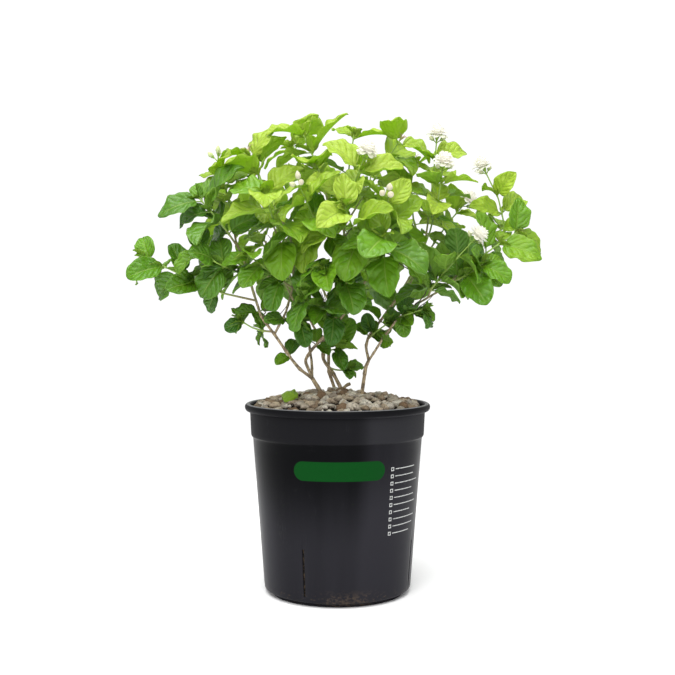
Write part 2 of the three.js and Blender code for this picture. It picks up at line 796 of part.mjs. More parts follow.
// Assembly
const group = new THREE.Group();
const finish = {
  pot: new THREE.MeshStandardMaterial({ color: 0x222326, roughness: 0.45, metalness: 0 }),
  medium: new THREE.MeshStandardMaterial({ color: 0x3a2c20, roughness: 1, metalness: 0 }),
  stone: new THREE.MeshStandardMaterial({ color: 0x9c8b74, roughness: 0.95, metalness: 0 }),
  bark: new THREE.MeshStandardMaterial({ color: 0x9a805c, roughness: 0.85, metalness: 0 }),
  foliage: new THREE.MeshStandardMaterial({ color: 0x5f9a1e, roughness: 0.5, metalness: 0 }),
  petal: new THREE.MeshStandardMaterial({ color: 0xf6f4e6, roughness: 0.6, metalness: 0 }),
};
function add(name, body, material) {
  const mesh = new THREE.Mesh(geometryOf(body), material);
  mesh.name = name;
  group.add(mesh);
}

// The pot and what fills it, with plain holes for the stems
const woodRoom = joined(Object.values(WOOD).map((branches) => woodyStem(branches, GAP)));
const potBody = pot();
const mulchBody = largest(mulch().subtract(woodRoom));
add("nursery_pot", potBody, finish.pot);
add("growing_medium", medium().subtract(woodRoom), finish.medium);
add("pumice_mulch", mulchBody, finish.stone);
place(potBody, null);
place(mulchBody, null);

for (const [name, branches] of Object.entries(WOOD)) {
  const body = woodyStem(branches, 0);
  add("woody_stem_" + name, body, finish.bark);
  place(body, null);
}

// The fallen leaf comes down on the stones until its clearance to them is the usual gap.
function fallenLeaf() {
  const heading = degToRad(FALLEN_LEAF.heading);
  const direction = vec([Math.cos(heading), Math.sin(heading), 0]);
  const leaf = leafSolid({
    base: vec([...FALLEN_LEAF.place, POT.height + 20]),
    direction,
    normal: UP,
    side: cross(direction, UP),
    length: FALLEN_LEAF.length,
    width: FALLEN_LEAF.length * LEAF.width,
    bend: FALLEN_LEAF.bend,
    fold: FALLEN_LEAF.fold,
    phase: 0,
  });
  const clearance = (drop) => leaf.translate([0, 0, -drop]).minGap(mulchBody, 40);
  let drop = 0;
  for (let step = 16; step > 0.02; step /= 2) while (clearance(drop + step) > GAP) drop += step;
  return leaf.translate([0, 0, -drop]);
}
const fallenBody = fallenLeaf();
add("fallen_leaf", fallenBody, finish.foliage);
place(fallenBody, null);

// The shoots' twigs, buds and blooms all take their place before the first leaf does.
const shoots = Object.entries(SHOOTS).map(([name, shoot], seed) => {
  const [stem, branch, share] = shoot.on;
  const start = pointOn(branchPath(WOOD[stem][branch].route), share);
  const path = pathThrough([start.toArray(), ...shoot.via], 1 + shoot.via.length);
  const [tip, axis] = [path.curve.getPoint(1), path.curve.getTangent(1)];
  const { heads, flower } = ending(shoot.ends, tip, axis, seed);
  place(tube(path, [TWIG.base, TWIG.tip], TWIG.sides, TWIG.spare), name);
  for (const head of heads) place(head, name);
  if (flower) {
    const ball = new THREE.IcosahedronGeometry(BLOOM.outer + 1, 0);
    const middle = mix([tip, 1], [axis, BLOOM.calyx + BLOOM.heart]);
    place(solid(ball.translate(...middle)), name);
  }
  const twig = tube(path, [TWIG.base, TWIG.tip], TWIG.sides);
  return { name, flower, bodies: [twig, ...heads], leaves: leavesOf(shoot, path, seed) };
});

// Each leaf takes the first setting that fits, and is left out where none does.
for (const { name, bodies, leaves } of shoots)
  for (const leafFor of leaves) {
    const setting = SETTINGS.find((s) => fits(leafRoom(leafFor(s)), name));
    if (!setting) continue;
    const body = leafSolid(leafFor(setting));
    bodies.push(body);
    place(body, name, true);
  }

for (const { name, bodies, flower } of shoots) {
  add("leafy_shoot_" + name, largest(joined(bodies).subtract(woodRoom)), finish.foliage);
  if (flower) add("bloom_" + name, flower, finish.petal);
}

export default group;
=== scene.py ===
# %% [markdown]
# # An Arabian jasmine in a nursery pot
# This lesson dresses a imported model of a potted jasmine. The model gives every piece at its real
# size: the pot, what fills it, four woody stems, 43 leafy shoots, 7 double blooms and a fallen
# leaf. It is plain and faceted, because it is there for weight and contact.
#
# Here each piece gets the form and the finish that the eye expects. The pieces are worked out
# with numpy as whole arrays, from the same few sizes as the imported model, so nothing is fitted.

import bpy
import numpy as np
from mathutils import Matrix, Vector


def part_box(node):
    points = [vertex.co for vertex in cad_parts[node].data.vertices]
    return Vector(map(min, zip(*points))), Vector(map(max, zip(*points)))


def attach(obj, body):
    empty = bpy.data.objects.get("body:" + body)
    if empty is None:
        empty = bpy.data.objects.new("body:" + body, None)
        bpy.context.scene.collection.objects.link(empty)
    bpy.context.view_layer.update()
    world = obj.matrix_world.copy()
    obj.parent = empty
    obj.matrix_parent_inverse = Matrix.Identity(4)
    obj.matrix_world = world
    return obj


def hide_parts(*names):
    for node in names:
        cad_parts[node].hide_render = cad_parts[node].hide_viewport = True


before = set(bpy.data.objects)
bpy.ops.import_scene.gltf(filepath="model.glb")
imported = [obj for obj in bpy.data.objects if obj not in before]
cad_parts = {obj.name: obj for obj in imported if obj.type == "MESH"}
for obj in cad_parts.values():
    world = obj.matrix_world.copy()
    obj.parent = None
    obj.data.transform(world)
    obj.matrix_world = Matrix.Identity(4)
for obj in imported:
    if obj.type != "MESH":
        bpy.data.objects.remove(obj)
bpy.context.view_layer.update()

# %% [markdown]
# ## Two ways to draw at random
# A plant is irregular, but the picture has to be the same on each run. The shoots use a small
# sequence of their own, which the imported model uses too: each state is the last one times 48271,
# less whole multiples of a prime. All else uses numpy's generator with a fixed seed.

# %% Random draws
MM = 0.001
TURN = 2 * np.pi
UP = np.array([0.0, 0.0, 1.0])
START, APART = 1000003, 7919
FACTOR, PRIME = 48271, 2147483647
chance = np.random.default_rng(7)


def draws(seed):
    """Yields numbers between 0 and 1. The first two are skipped, because they are much alike."""
    state = START + seed * APART
    for count in range(10**6):
        state = (state * FACTOR) % PRIME
        if count > 1:
            yield state / PRIME


def unit(vectors):
    """Vectors of length 1 along the last axis of an array."""
    vectors = np.asarray(vectors, float)
    return vectors / np.linalg.norm(vectors, axis=-1, keepdims=True)


def ease(low, high, x):
    """0 below low, 1 above high, and 3x^2 - 2x^3 of the share between them."""
    share = np.clip((x - low) / (high - low), 0, 1)
    return share * share * (3 - 2 * share)


print("the first draw of sequence 1:", round(next(draws(1)), 4))

# %% [markdown]
# ## One skin for every living thing
# A leaf, a petal, a twig, a bud and a stone are all stacks of rings: closed loops of points, one
# after the other along an axis. A leaf's rings are flat loops that run over its upper face from
# margin to margin and back under it. So one function makes them all. It takes rings of the shape
# (pieces, stations, around, 3), joins each ring to the next with four-sided faces, and closes each
# end with a fan to the ring's middle. The rings run anticlockwise as seen from where they lead,
# which turns all faces outwards.
#
# Values that the finishes need, such as a leaf's age, travel with the points as named attributes.

# %% Skins
def skin(rings, finish=0, **values):
    """The points and faces of closed skins through rings, with values for each point."""
    pieces, stations, around, _ = rings.shape
    count = stations * around
    ends = rings[:, [0, -1]].mean(axis=2)
    points = np.concatenate([rings.reshape(pieces, count, 3), ends], axis=1)
    i = np.arange(around)
    j = (i + 1) % around
    k = np.arange(stations - 1)[:, None] * around
    quads = np.stack([k + i, k + j, k + around + j, k + around + i], axis=-1).reshape(-1, 4)
    last = count - around
    first_fan = np.stack([np.full(around, count), j, i], axis=-1)
    last_fan = np.stack([np.full(around, count + 1), last + i, last + j], axis=-1)
    shift = np.arange(pieces)[:, None, None] * (count + 2)
    fans = np.concatenate([first_fan, last_fan])
    full = {}
    for name, value in values.items():
        value = np.broadcast_to(value, rings.shape[:3])
        ends = value[:, [0, -1]].mean(axis=2)
        full[name] = np.concatenate([value.reshape(pieces, count), ends], axis=1).ravel()
    return {
        "points": points.reshape(-1, 3),
        "quads": (quads + shift).reshape(-1, 4),
        "fans": (fans + shift).reshape(-1, 3),
        "finish": finish,
        "values": full,
    }


square = [[[0, 0, z], [1, 0, z], [1, 1, z], [0, 1, z]] for z in (0, 1)]
print("a box of two rings has", len(skin(np.array([square], float))["quads"]), "sides")

# %% [markdown]
# ## From skins to a piece
# Each piece is one mesh object. It rides on the part's only body and hides the imported nodes that
# it stands for. The skins of a piece may have different finishes, as a shoot has for its leaves,
# its twig and its buds. Their numbers are joined into a few long arrays, and Blender takes each
# array in one call.

# %% Pieces
def placed(name, mesh, finishes, replaced=()):
    """Makes a mesh a piece that rides on the pot's body, and may stand for CAD nodes."""
    made = bpy.data.objects.new(name, mesh)
    bpy.context.scene.collection.objects.link(made)
    for finish in finishes:
        mesh.materials.append(finish)
    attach(made, "root")
    if replaced:
        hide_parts(*replaced)
    return made


def piece(name, skins, finishes, replaced=()):
    """Joins skins into one mesh, with their values as attributes, and makes it a piece."""
    starts = np.cumsum([0] + [len(s["points"]) for s in skins])
    points = np.concatenate([s["points"] for s in skins])
    corners, sizes, finish_index = [], [], []
    for start, s in zip(starts, skins):
        for faces in (s["quads"], s["fans"]):
            corners.append((faces + start).ravel())
            sizes.append(np.full(len(faces), faces.shape[1]))
            finish_index.append(np.full(len(faces), s["finish"]))
    corners, sizes = np.concatenate(corners), np.concatenate(sizes)
    mesh = bpy.data.meshes.new(name)
    mesh.vertices.add(len(points))
    mesh.vertices.foreach_set("co", points.ravel())
    mesh.loops.add(len(corners))
    mesh.loops.foreach_set("vertex_index", corners)
    mesh.polygons.add(len(sizes))
    mesh.polygons.foreach_set("loop_start", np.cumsum(sizes) - sizes)
    mesh.polygons.foreach_set("material_index", np.concatenate(finish_index))
    mesh.polygons.foreach_set("use_smooth", np.ones(len(sizes), bool))
    mesh.update(calc_edges=True)
    values = {}
    for key in sorted({key for s in skins for key in s["values"]}):
        none = [np.zeros(len(s["points"])) for s in skins]
        values[key] = np.concatenate([s["values"].get(key, z) for s, z in zip(skins, none)])
    if "u" in values:
        where = np.stack([values.pop("u"), values.pop("v")], axis=1)
        mesh.uv_layers.new(name="blade").uv.foreach_set("vector", where[corners].ravel())
    for key, value in values.items():
        mesh.attributes.new(key, "FLOAT", "POINT").data.foreach_set("value", value)
    return placed(name, mesh, finishes, replaced)


def triangles(made):
    """How many triangles a piece's mesh has."""
    return sum(len(face.vertices) - 2 for face in made.data.polygons)


print("the packed model has", len(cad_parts), "nodes")

# %% [markdown]
# ## Paths and tubes
# A tube needs a path and, at each point of it, two directions square to the way it runs. They come
# from one fixed direction that the path never follows: its cross product with the tangent is the
# first, and the tangent's with that one is the second.
#
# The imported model's twigs are straight stretches between points of a smooth curve, so here the
# same stretches are cut into short steps and each point is averaged with its neighbours twice.
# That rounds the corners and moves nothing by more than a twig's thickness.

# %% Path helpers
def catmull(points, t):
    """Points at shares t of a Catmull-Rom curve: p = a + b x + c x^2 + d x^3 between its points."""
    points, t = np.asarray(points, float), np.atleast_1d(t)
    ends = [2 * points[0] - points[1]], [2 * points[-1] - points[-2]]
    padded = np.concatenate([ends[0], points, ends[1]])
    k = np.minimum((t * (len(points) - 1)).astype(int), len(points) - 2)
    x = (t * (len(points) - 1) - k)[:, None]
    before, start, stop, after = (padded[k + i] for i in range(4))
    b, tangent = (stop - before) / 2, (after - start) / 2
    c = 3 * (stop - start) - 2 * b - tangent
    d = 2 * (start - stop) + b + tangent
    return start + x * (b + x * (c + x * d))


def heading(points, t):
    """The direction of a Catmull-Rom curve at a share t of it."""
    ends = np.clip([t - 1e-4, t + 1e-4], 0, 1)
    return unit(np.diff(catmull(points, ends), axis=0)[0])


def on_stretch(corners, share):
    """The point at a share of a path of straight stretches, each of which counts the same."""
    k = min(int(share * (len(corners) - 1)), len(corners) - 2)
    x = share * (len(corners) - 1) - k
    return corners[k] * (1 - x) + corners[k + 1] * x


def softened(corners, step=3 * MM):
    """A path of even short steps along straight stretches, with its corners rounded."""
    corners = np.asarray(corners, float)
    lengths = np.linalg.norm(np.diff(corners, axis=0), axis=1)
    along = np.concatenate([[0], np.cumsum(lengths)])
    wanted = np.linspace(0, along[-1], max(int(along[-1] / step), 4) + 1)
    path = np.stack([np.interp(wanted, along, corners[:, i]) for i in range(3)], axis=1)
    for _ in range(2):
        path[1:-1] = (path[:-2] + 2 * path[1:-1] + path[2:]) / 4
    return path


print("a curve's middle:", catmull([[0, 0, 0], [1, 0, 1], [2, 0, 0]], 0.5)[0].tolist())

# %% Tubes
def directions(path):
    """The tangents of a path, and two directions square to them."""
    tangent = unit(np.gradient(path, axis=0))
    fixed = np.eye(3)[np.argmin(np.abs(tangent).max(axis=0))]
    side = unit(np.cross(tangent, fixed))
    return tangent, side, np.cross(tangent, side)


def tube(path, radius, around=8):
    """Rings round a path: path + radius (side cos a + other sin a). radius has a value for each
    station, or for each station and angle."""
    _, side, other = directions(path)
    a = np.arange(around) / around * TURN
    radius = np.asarray(radius, float)
    radius = radius[:, None, None] if radius.ndim == 1 else radius[:, :, None]
    ring = side[:, None] * np.cos(a)[:, None] + other[:, None] * np.sin(a)[:, None]
    return (path[:, None] + radius * ring)[None]


print("a tube's rings:", tube(softened([[0, 0, 0], [0, 0, 1]], 0.25), np.ones(5)).shape)

# %% [markdown]
# ## Finishes written as arithmetic
# A finish here is mostly sums: a vein is a distance that is turned into a line, a printed band is
# a rounded rectangle worked out from an angle and a height. Wiring each sum by hand would bury
# the idea, so a small class wraps a number socket, and Python's operators add the Math nodes.

# %% Numbers
class Number:
    """A number socket. Arithmetic with it adds Math nodes and gives a new Number."""

    def __init__(self, finish, socket):
        self.finish = finish
        self.socket = socket

    def math(self, operation, *terms):
        sockets = dict(enumerate(terms))
        node = self.finish.node("Math", {"operation": operation}, sockets)
        return Number(self.finish, node.outputs[0])

    def __add__(self, other):
        return self.math("ADD", self, other)

    def __sub__(self, other):
        return self.math("SUBTRACT", self, other)

    def __rsub__(self, other):
        return self.math("SUBTRACT", other, self)

    def __mul__(self, other):
        return self.math("MULTIPLY", self, other)

    def __truediv__(self, other):
        return self.math("DIVIDE", self, other)

    def __pow__(self, other):
        return self.math("POWER", self, other)

    def __neg__(self):
        return self * -1

    def __abs__(self):
        return self.math("ABSOLUTE", self)

    __radd__ = __add__
    __rmul__ = __mul__

    def above(self, floor):
        return self.math("MAXIMUM", self, floor)

    def below(self, ceiling):
        return self.math("MINIMUM", self, ceiling)

    def sine(self):
        return self.math("SINE", self)

    def beat(self):
        """The distance to the nearest whole number, from 0 to 0.5."""
        shifted = self + 0.5
        return abs(shifted.math("FRACT", shifted) - 0.5)

    def step(self, low, high):
        """0 below low and 1 above high, or the other way round where low is the larger."""
        turned = low > high
        ends = {"From Min": min(low, high), "From Max": max(low, high)}
        sockets = {"Value": self, "To Min": float(turned), "To Max": float(not turned), **ends}
        node = self.finish.node("MapRange", {"interpolation_type": "SMOOTHSTEP"}, sockets)
        return Number(self.finish, node.outputs["Result"])


# %% [markdown]
# ## One method for all other nodes
# Every other node comes from one method, which takes the node's type, then its settings and then
# what its sockets hold or are linked to. The few that come back often, such as cloudy noise, a
# mix of two colours or a bump, get a short name each. The last method ends a finish with its
# surface. A leaf or a petal is thin, so there a share of the light that passes through is mixed in.

# %% The finish kit
class Finish:
    """A material whose nodes are being made."""

    def __init__(self, name):
        self.material = bpy.data.materials.new(name)
        self.material.use_nodes = True
        self.tree = self.material.node_tree
        self.tree.nodes.clear()

    def node(self, kind, settings=None, sockets=None):
        """A node of a type, with its settings made first and then its sockets filled or linked."""
        made = self.tree.nodes.new("ShaderNode" + kind)
        for name, value in (settings or {}).items():
            setattr(made, name, value)
        for key, value in (sockets or {}).items():
            if isinstance(value, Number):
                value = value.socket
            if isinstance(value, bpy.types.NodeSocket):
                self.tree.links.new(value, made.inputs[key])
            elif isinstance(value, tuple) and made.inputs[key].type == "RGBA":
                made.inputs[key].default_value = (*value, 1)
            else:
                made.inputs[key].default_value = value
        return made

    def value(self, name):
        """A named value that travels with the mesh's points."""
        return Number(self, self.node("Attribute", {"attribute_name": name}).outputs["Fac"])

    def coordinates(self):
        """The point in the piece's own space, which is the frame's, and its x, y and z."""
        point = self.node("TexCoord").outputs["Object"]
        parts = self.node("SeparateXYZ", sockets={0: point}).outputs
        return point, *(Number(self, part) for part in parts)

    def blade(self):
        """The place on a leaf or petal: u from its foot to its tip, and v from -1 to 1 across."""
        place = self.node("UVMap", {"uv_map": "blade"}).outputs[0]
        parts = self.node("SeparateXYZ", sockets={0: place}).outputs
        return Number(self, parts[0]), Number(self, parts[1]) * 2 - 1

    def noise(self, point, scale, detail=3.0, roughness=0.55):
        """Cloudy noise from 0 to 1, with scale as the number of its blobs in a metre."""
        sockets = {"Vector": point, "Scale": scale, "Detail": detail, "Roughness": roughness}
        return Number(self, self.node("TexNoise", sockets=sockets).outputs["Fac"])

    def stretched(self, point, scale):
        """A point with each of its parts times a share, which stretches what is drawn at it."""
        settings = {"operation": "MULTIPLY"}
        return self.node("VectorMath", settings, {0: point, 1: scale}).outputs[0]

    def mix(self, share, first, second, way="MIX"):
        """A colour between two, or the second laid over the first in a named way."""
        settings = {"data_type": "RGBA", "blend_type": way}
        return self.node("Mix", settings, {0: share, 6: first, 7: second}).outputs[2]

    def bump(self, height, distance, strength=1.0):
        """The normal of a surface with a height from 0 to 1 times a distance in metres."""
        sockets = {"Height": height, "Distance": distance, "Strength": strength}
        return self.node("Bump", sockets=sockets).outputs[0]

    def surface(self, colour, roughness, normal=None, glow=None, share=0.0, **plain):
        """Ends the finish: a Principled surface, mixed with a share of light that passes through
        in the colour glow where one is given."""
        names = {name.replace("_", " "): value for name, value in plain.items()}
        sockets = {"Base Color": colour, "Roughness": roughness, **names}
        if normal:
            sockets["Normal"] = normal
        shade = self.node("BsdfPrincipled", sockets=sockets).outputs[0]
        if glow:
            through = self.node("BsdfTranslucent", sockets={"Color": glow}).outputs[0]
            shade = self.node("MixShader", sockets={0: share, 1: shade, 2: through}).outputs[0]
        self.node("OutputMaterial", sockets={"Surface": shade})
        print("finish", self.material.name, "has", len(self.tree.nodes), "nodes")
        return self.material


# %% [markdown]
# ## Camera
# The photograph was taken from a little above the rim, 1.39 m from the pot's axis. The rim, the
# collar's step and the foot show as ellipses, and the height at which an ellipse would close to a
# line is the camera's own height, 0.37 m. The lens follows from the pot's width in the picture:
# 1063 pixels of focal length on a picture of 675.

# %% Camera
CAMERA = {"place": (0, -1.390, 0.370), "down": 1.6, "focal": 1063, "picture": 675, "sensor": 36}

scene = bpy.context.scene
scene.view_settings.view_transform = "Standard"

camera_data = bpy.data.cameras.new("camera")
camera_data.sensor_width = CAMERA["sensor"]
camera_data.lens = CAMERA["sensor"] * CAMERA["focal"] / CAMERA["picture"]
camera = bpy.data.objects.new("camera", camera_data)
camera.location = CAMERA["place"]
camera.rotation_euler = (np.radians(90 - CAMERA["down"]), 0, 0)
scene.collection.objects.link(camera)
scene.camera = camera
print("camera at", CAMERA["place"], "with a lens of", round(camera_data.lens, 2), "mm")

# %% [markdown]
# ## Room, lights and floor
# The picture is high key: a white room lights the plant from all sides. So the world is white, a
# large soft light above makes the top leaves glow, and a second one in front fills their shaded
# side. The room is a little brighter where the camera sees it than where it lights the plant, so
# the background is pure white while the black pot keeps its depth.

# %% Room, lights and floor
ROOM = {"seen": 1.06, "light": 0.95}
LIGHTS = {
    "overhead": {"place": (-0.1, -0.25, 1.75), "size": (1.5, 1.2), "power": 27.0},
    "key": {"place": (-0.25, -1.9, 1.6), "size": (1.2, 1.2), "power": 30.0},
}
MIDDLE = np.array([0.0, 0.0, 0.32])
FLOOR_HALF = 1.0

world = bpy.data.worlds.new("white_room")
world.use_nodes = True
room = world.node_tree
background = room.nodes["Background"]
background.inputs["Color"].default_value = (1, 1, 1, 1)
ray = room.nodes.new("ShaderNodeLightPath")
strength = room.nodes.new("ShaderNodeMapRange")
strength.inputs["To Min"].default_value = ROOM["light"]
strength.inputs["To Max"].default_value = ROOM["seen"]
room.links.new(ray.outputs["Is Camera Ray"], strength.inputs["Value"])
room.links.new(strength.outputs["Result"], background.inputs["Strength"])
scene.world = world

for name, light in LIGHTS.items():
    data = bpy.data.lights.new(name, "AREA")
    data.shape = "RECTANGLE"
    data.size, data.size_y = light["size"]
    data.energy = light["power"]
    lamp = bpy.data.objects.new(name, data)
    lamp.location = light["place"]
    aim = Vector(MIDDLE - np.array(light["place"]))
    lamp.rotation_euler = aim.to_track_quat("-Z", "Y").to_euler()
    scene.collection.objects.link(lamp)

floor_finish = Finish("pale_floor").surface((0.96, 0.96, 0.96), 1.0, Specular_IOR_Level=0.0)
floor_mesh = bpy.data.meshes.new("floor")
corners = [(x * FLOOR_HALF, y * FLOOR_HALF, 0) for x, y in ((-1, -1), (1, -1), (1, 1), (-1, 1))]
floor_mesh.from_pydata(corners, [], [(0, 1, 2, 3)])
floor_mesh.materials.append(floor_finish)
floor = bpy.data.objects.new("floor", floor_mesh)
scene.collection.objects.link(floor)
print(len(LIGHTS), "soft lights over a floor of", 2 * FLOOR_HALF, "m")

# %% [markdown]
# ## The black pot's finish
# The pot is moulded plastic, almost black and satin, so it shows no crisp reflections. Use has left
# its marks: pale scuffs, faint streaks that run downwards, and splashed soil at the foot, most of
# it in front. The wall is painted lighter downwards and at the left, a painted reflection of the
# white floor and room, with a broad painted highlight at the right; a thin painted highlight line
# runs on top of the lip. The collar is more matt.
#
# A green band with round ends is printed on the front, and rows of a small box and a ruled line at
# the right. Both are drawn from two numbers: the way round the wall, which is the angle from the
# front times the wall's radius, and the height. The distance to a rounded rectangle is the length
# of what is left of both once the rectangle's straight parts are taken off, less the corner radius.
# A row is where the height is close to a whole number of pitches.

# %% What is printed on the pot
BAND = {"middle": 171 * MM, "half_height": 12 * MM, "turn": np.radians(1.5), "half_arc": 58 * MM}
RULED = {
    "low": 84 * MM, "high": 177 * MM, "pitch": 9 * MM, "thick": 0.4 * MM,
    "box": 73 * MM, "outer": 2.2 * MM, "inner": 1.4 * MM,
    "line": 78 * MM, "length": 44 * MM, "uneven": 9 * MM,
}
SOFT = 0.2 * MM
WALL = 107 * MM


def band_mask(arc, z):
    """1 within half_height of the band's straight middle line, which gives it round ends."""
    straight = BAND["half_arc"] - BAND["half_height"]
    past = (abs(arc - BAND["turn"] * WALL) - straight).above(0)
    off = z - BAND["middle"]
    edge = (past * past + off * off) ** 0.5 - BAND["half_height"]
    return edge.step(0.3 * MM, -0.3 * MM)


def ruled_mask(arc, z):
    """1 on the hollow boxes and the lines of all rows. Each line's length is a little different."""
    row = z / RULED["pitch"]
    off_row = row.beat() * RULED["pitch"]
    end = RULED["line"] + RULED["length"] + RULED["uneven"] * (2.3 * row.math("ROUND", row)).sine()
    line = off_row.step(RULED["thick"] + 0.25 * MM, RULED["thick"])
    line = line * arc.step(RULED["line"], RULED["line"] + SOFT) * (arc - end).step(SOFT, 0)
    box = abs(arc - RULED["box"]).above(off_row)
    outside, inside = RULED["outer"], RULED["inner"]
    box = box.step(outside + SOFT, outside) * box.step(inside - SOFT, inside)
    low, high = RULED["low"], RULED["high"]
    window = z.step(low - 0.1 * MM, low) * z.step(high, high - 0.1 * MM)
    return (line + box).below(1) * window


print("ruled rows on the pot:", round((RULED["high"] - RULED["low"]) / RULED["pitch"]))

# %% Pot plastic
# Heights for the marks: the lighter lower wall is painted reflection, the lip's top line painted
# highlight.
LEVELS = {
    "soiled": (26 * MM, 6 * MM), "painted_floor_reflection": (195 * MM, 60 * MM), "painted_side_reflection": (200 * MM, 90 * MM),
    "collar": (203 * MM, 205 * MM), "lip": (237 * MM, 239 * MM),
    "painted_lip_highlight": (244.9 * MM, 245.6 * MM),
}


def pot_plastic():
    f = Finish("pot_plastic")
    point, x, y, z = f.coordinates()
    turn = x.math("ARCTAN2", x, -y)
    arc = turn * WALL
    level = {name: z.step(*ends) for name, ends in LEVELS.items()}
    worn = f.noise(point, 900, 2)
    band = band_mask(arc, z) * (0.9 + 0.1 * worn.step(0.3, 0.6))
    rules = ruled_mask(arc, z) * worn.step(0.25, 0.5)

    cloud = f.noise(f.stretched(point, (1, 1, 0.35)), 45, 4)
    fine = f.noise(f.stretched(point, (1, 1, 0.15)), 700, 3)
    scuffs = cloud.step(0.6, 0.76) * fine.step(0.5, 0.75)
    splash = f.noise(f.stretched(point, (1, 1, 1.6)), 210, 5, 0.65)
    in_front = turn.step(-0.3, 0.0) * turn.step(0.62, 0.25)
    soil = level["soiled"] * (splash + 0.12 * in_front).step(0.54, 0.74)
    # A painted highlight: a broad lighter band at the right of the front, on body and collar.
    painted_highlight = turn.step(0.12, 0.5) * turn.step(1.5, 0.8)
    # A painted reflection at the left and back, lighter downwards.
    painted_side_reflection_mask = turn.step(-0.75, -1.15) * turn.step(-2.7, -2.0) * level["painted_side_reflection"]
    runs = f.noise(f.stretched(point, (1, 1, 0.06)), 30, 3) - 0.5
    # Painted reflection lighter downwards and painted highlight, with faint real streaks running
    # through them.
    streaks_and_painted_sheen = 0.72 * level["painted_floor_reflection"] + 0.5 * painted_highlight + 0.4 * painted_side_reflection_mask + 0.45 * runs

    body = f.mix(streaks_and_painted_sheen.step(0.0, 1.05), (0.0011, 0.0012, 0.0018), (0.0185, 0.018, 0.0225))
    # The collar is more matt, and carries the same painted highlight band.
    matt = f.mix((painted_highlight + 0.6 * runs).step(0, 1), (0.0065, 0.0065, 0.0078), (0.019, 0.019, 0.022))
    black = f.mix(level["collar"], body, matt)
    black = f.mix(level["lip"], black, (0.004, 0.004, 0.005))
    # A painted highlight line on top of the lip.
    black = f.mix(level["painted_lip_highlight"], black, (0.17, 0.17, 0.175))
    black = f.mix(scuffs * 0.32, black, (0.08, 0.08, 0.085))
    printed = f.mix(band, black, (0.0008, 0.044, 0.005))
    printed = f.mix(rules, printed, (0.5, 0.51, 0.5))
    colour = f.mix(soil * 0.42, printed, (0.12, 0.085, 0.055))
    roughness = 0.26 + 0.1 * cloud + 0.2 * soil + 0.12 * scuffs + 0.2 * level["collar"]
    grain = f.noise(point, 2600, 2)
    return f.surface(colour, roughness, f.bump(grain, 0.02 * MM, 0.5), Specular_IOR_Level=0.045)


pot_finish = pot_plastic()

# %% [markdown]
# ## The pot
# A nursery pot is blown or moulded with a wall of about 1.6 mm. Its rim is rolled outwards, a deep
# collar steps in to a body that tapers to an inset foot, and tall slits let the roots breathe.
#
# The wall is one profile carried round the axis: a grid of the way along the profile and the angle.
# The slits are left out as whole cells, so the grid has lines exactly at their edges, and Solidify
# then gives the sheet its wall and the slits their sides. The bottom plate is a flat curve with
# round holes, because holes in a disc don't follow a grid of rings.

# %% Pot profile
POT = {
    "height": 246, "lip": 121, "lip_height": 10, "collar": 114.2, "collar_foot_radius": 112.8,
    "collar_foot": 204.5, "body_top": 110.6, "body_foot_radius": 95.8, "body_foot": 9,
    "foot": 87.2, "wall": 1.6, "floor": 2.4,
}
SLITS = {"angles": (-25, 70, 158, 247), "width": 2.6, "bottom": 13, "top": 73}
DRAINS = {"count": 5, "radius": 7, "circle": 58}


def pot_profile():
    """Radius and height in mm, along the middle of the wall, from the foot to the rolled lip."""
    half = POT["wall"] / 2
    foot, edge = POT["foot"] - half, POT["body_foot_radius"] - half
    foot = [
        [foot - 0.9, half], [foot - 0.2, half + 0.8], [foot, half + 2.4], [foot + 0.2, 5],
        [foot + 1.2, 5.7], [edge - 2.6, 6], [edge - 0.8, 6.7], [edge - 0.1, 8],
    ]
    heights = [SLITS["bottom"], *np.linspace(24, 60, 4), SLITS["top"], *np.linspace(90, 200, 9)]
    share = (np.array(heights) - POT["body_foot"]) / (POT["collar_foot"] - POT["body_foot"])
    body = np.stack([
        POT["body_foot_radius"] - half + (POT["body_top"] - POT["body_foot_radius"]) * share,
        heights,
    ], axis=1)
    step = [
        [POT["body_top"] - half + 0.1, POT["collar_foot"] - 2.2],
        [POT["body_top"] - half + 0.6, POT["collar_foot"] - 0.9],
        [POT["collar_foot_radius"] - half - 0.5, POT["collar_foot"] - 0.1],
        [POT["collar_foot_radius"] - half, POT["collar_foot"] + 1.1],
        [POT["collar_foot_radius"] - half + 0.2, POT["collar_foot"] + 4],
        [POT["collar"] - half, POT["height"] - POT["lip_height"] - 2],
    ]
    roll = (POT["lip"] - POT["collar"]) / 2
    middle = [POT["collar"] - half + roll, POT["height"] - half - roll]
    a = np.linspace(np.pi, -0.55 * np.pi, 14)
    lip = np.stack([
        middle[0] + roll * np.cos(a),
        middle[1] + roll * np.sin(a) - 1.4 * ease(0.2, -1.2, a),
    ], axis=1)
    return np.concatenate([foot, body, step, lip]) * MM


print("the pot's profile has", len(pot_profile()), "points")

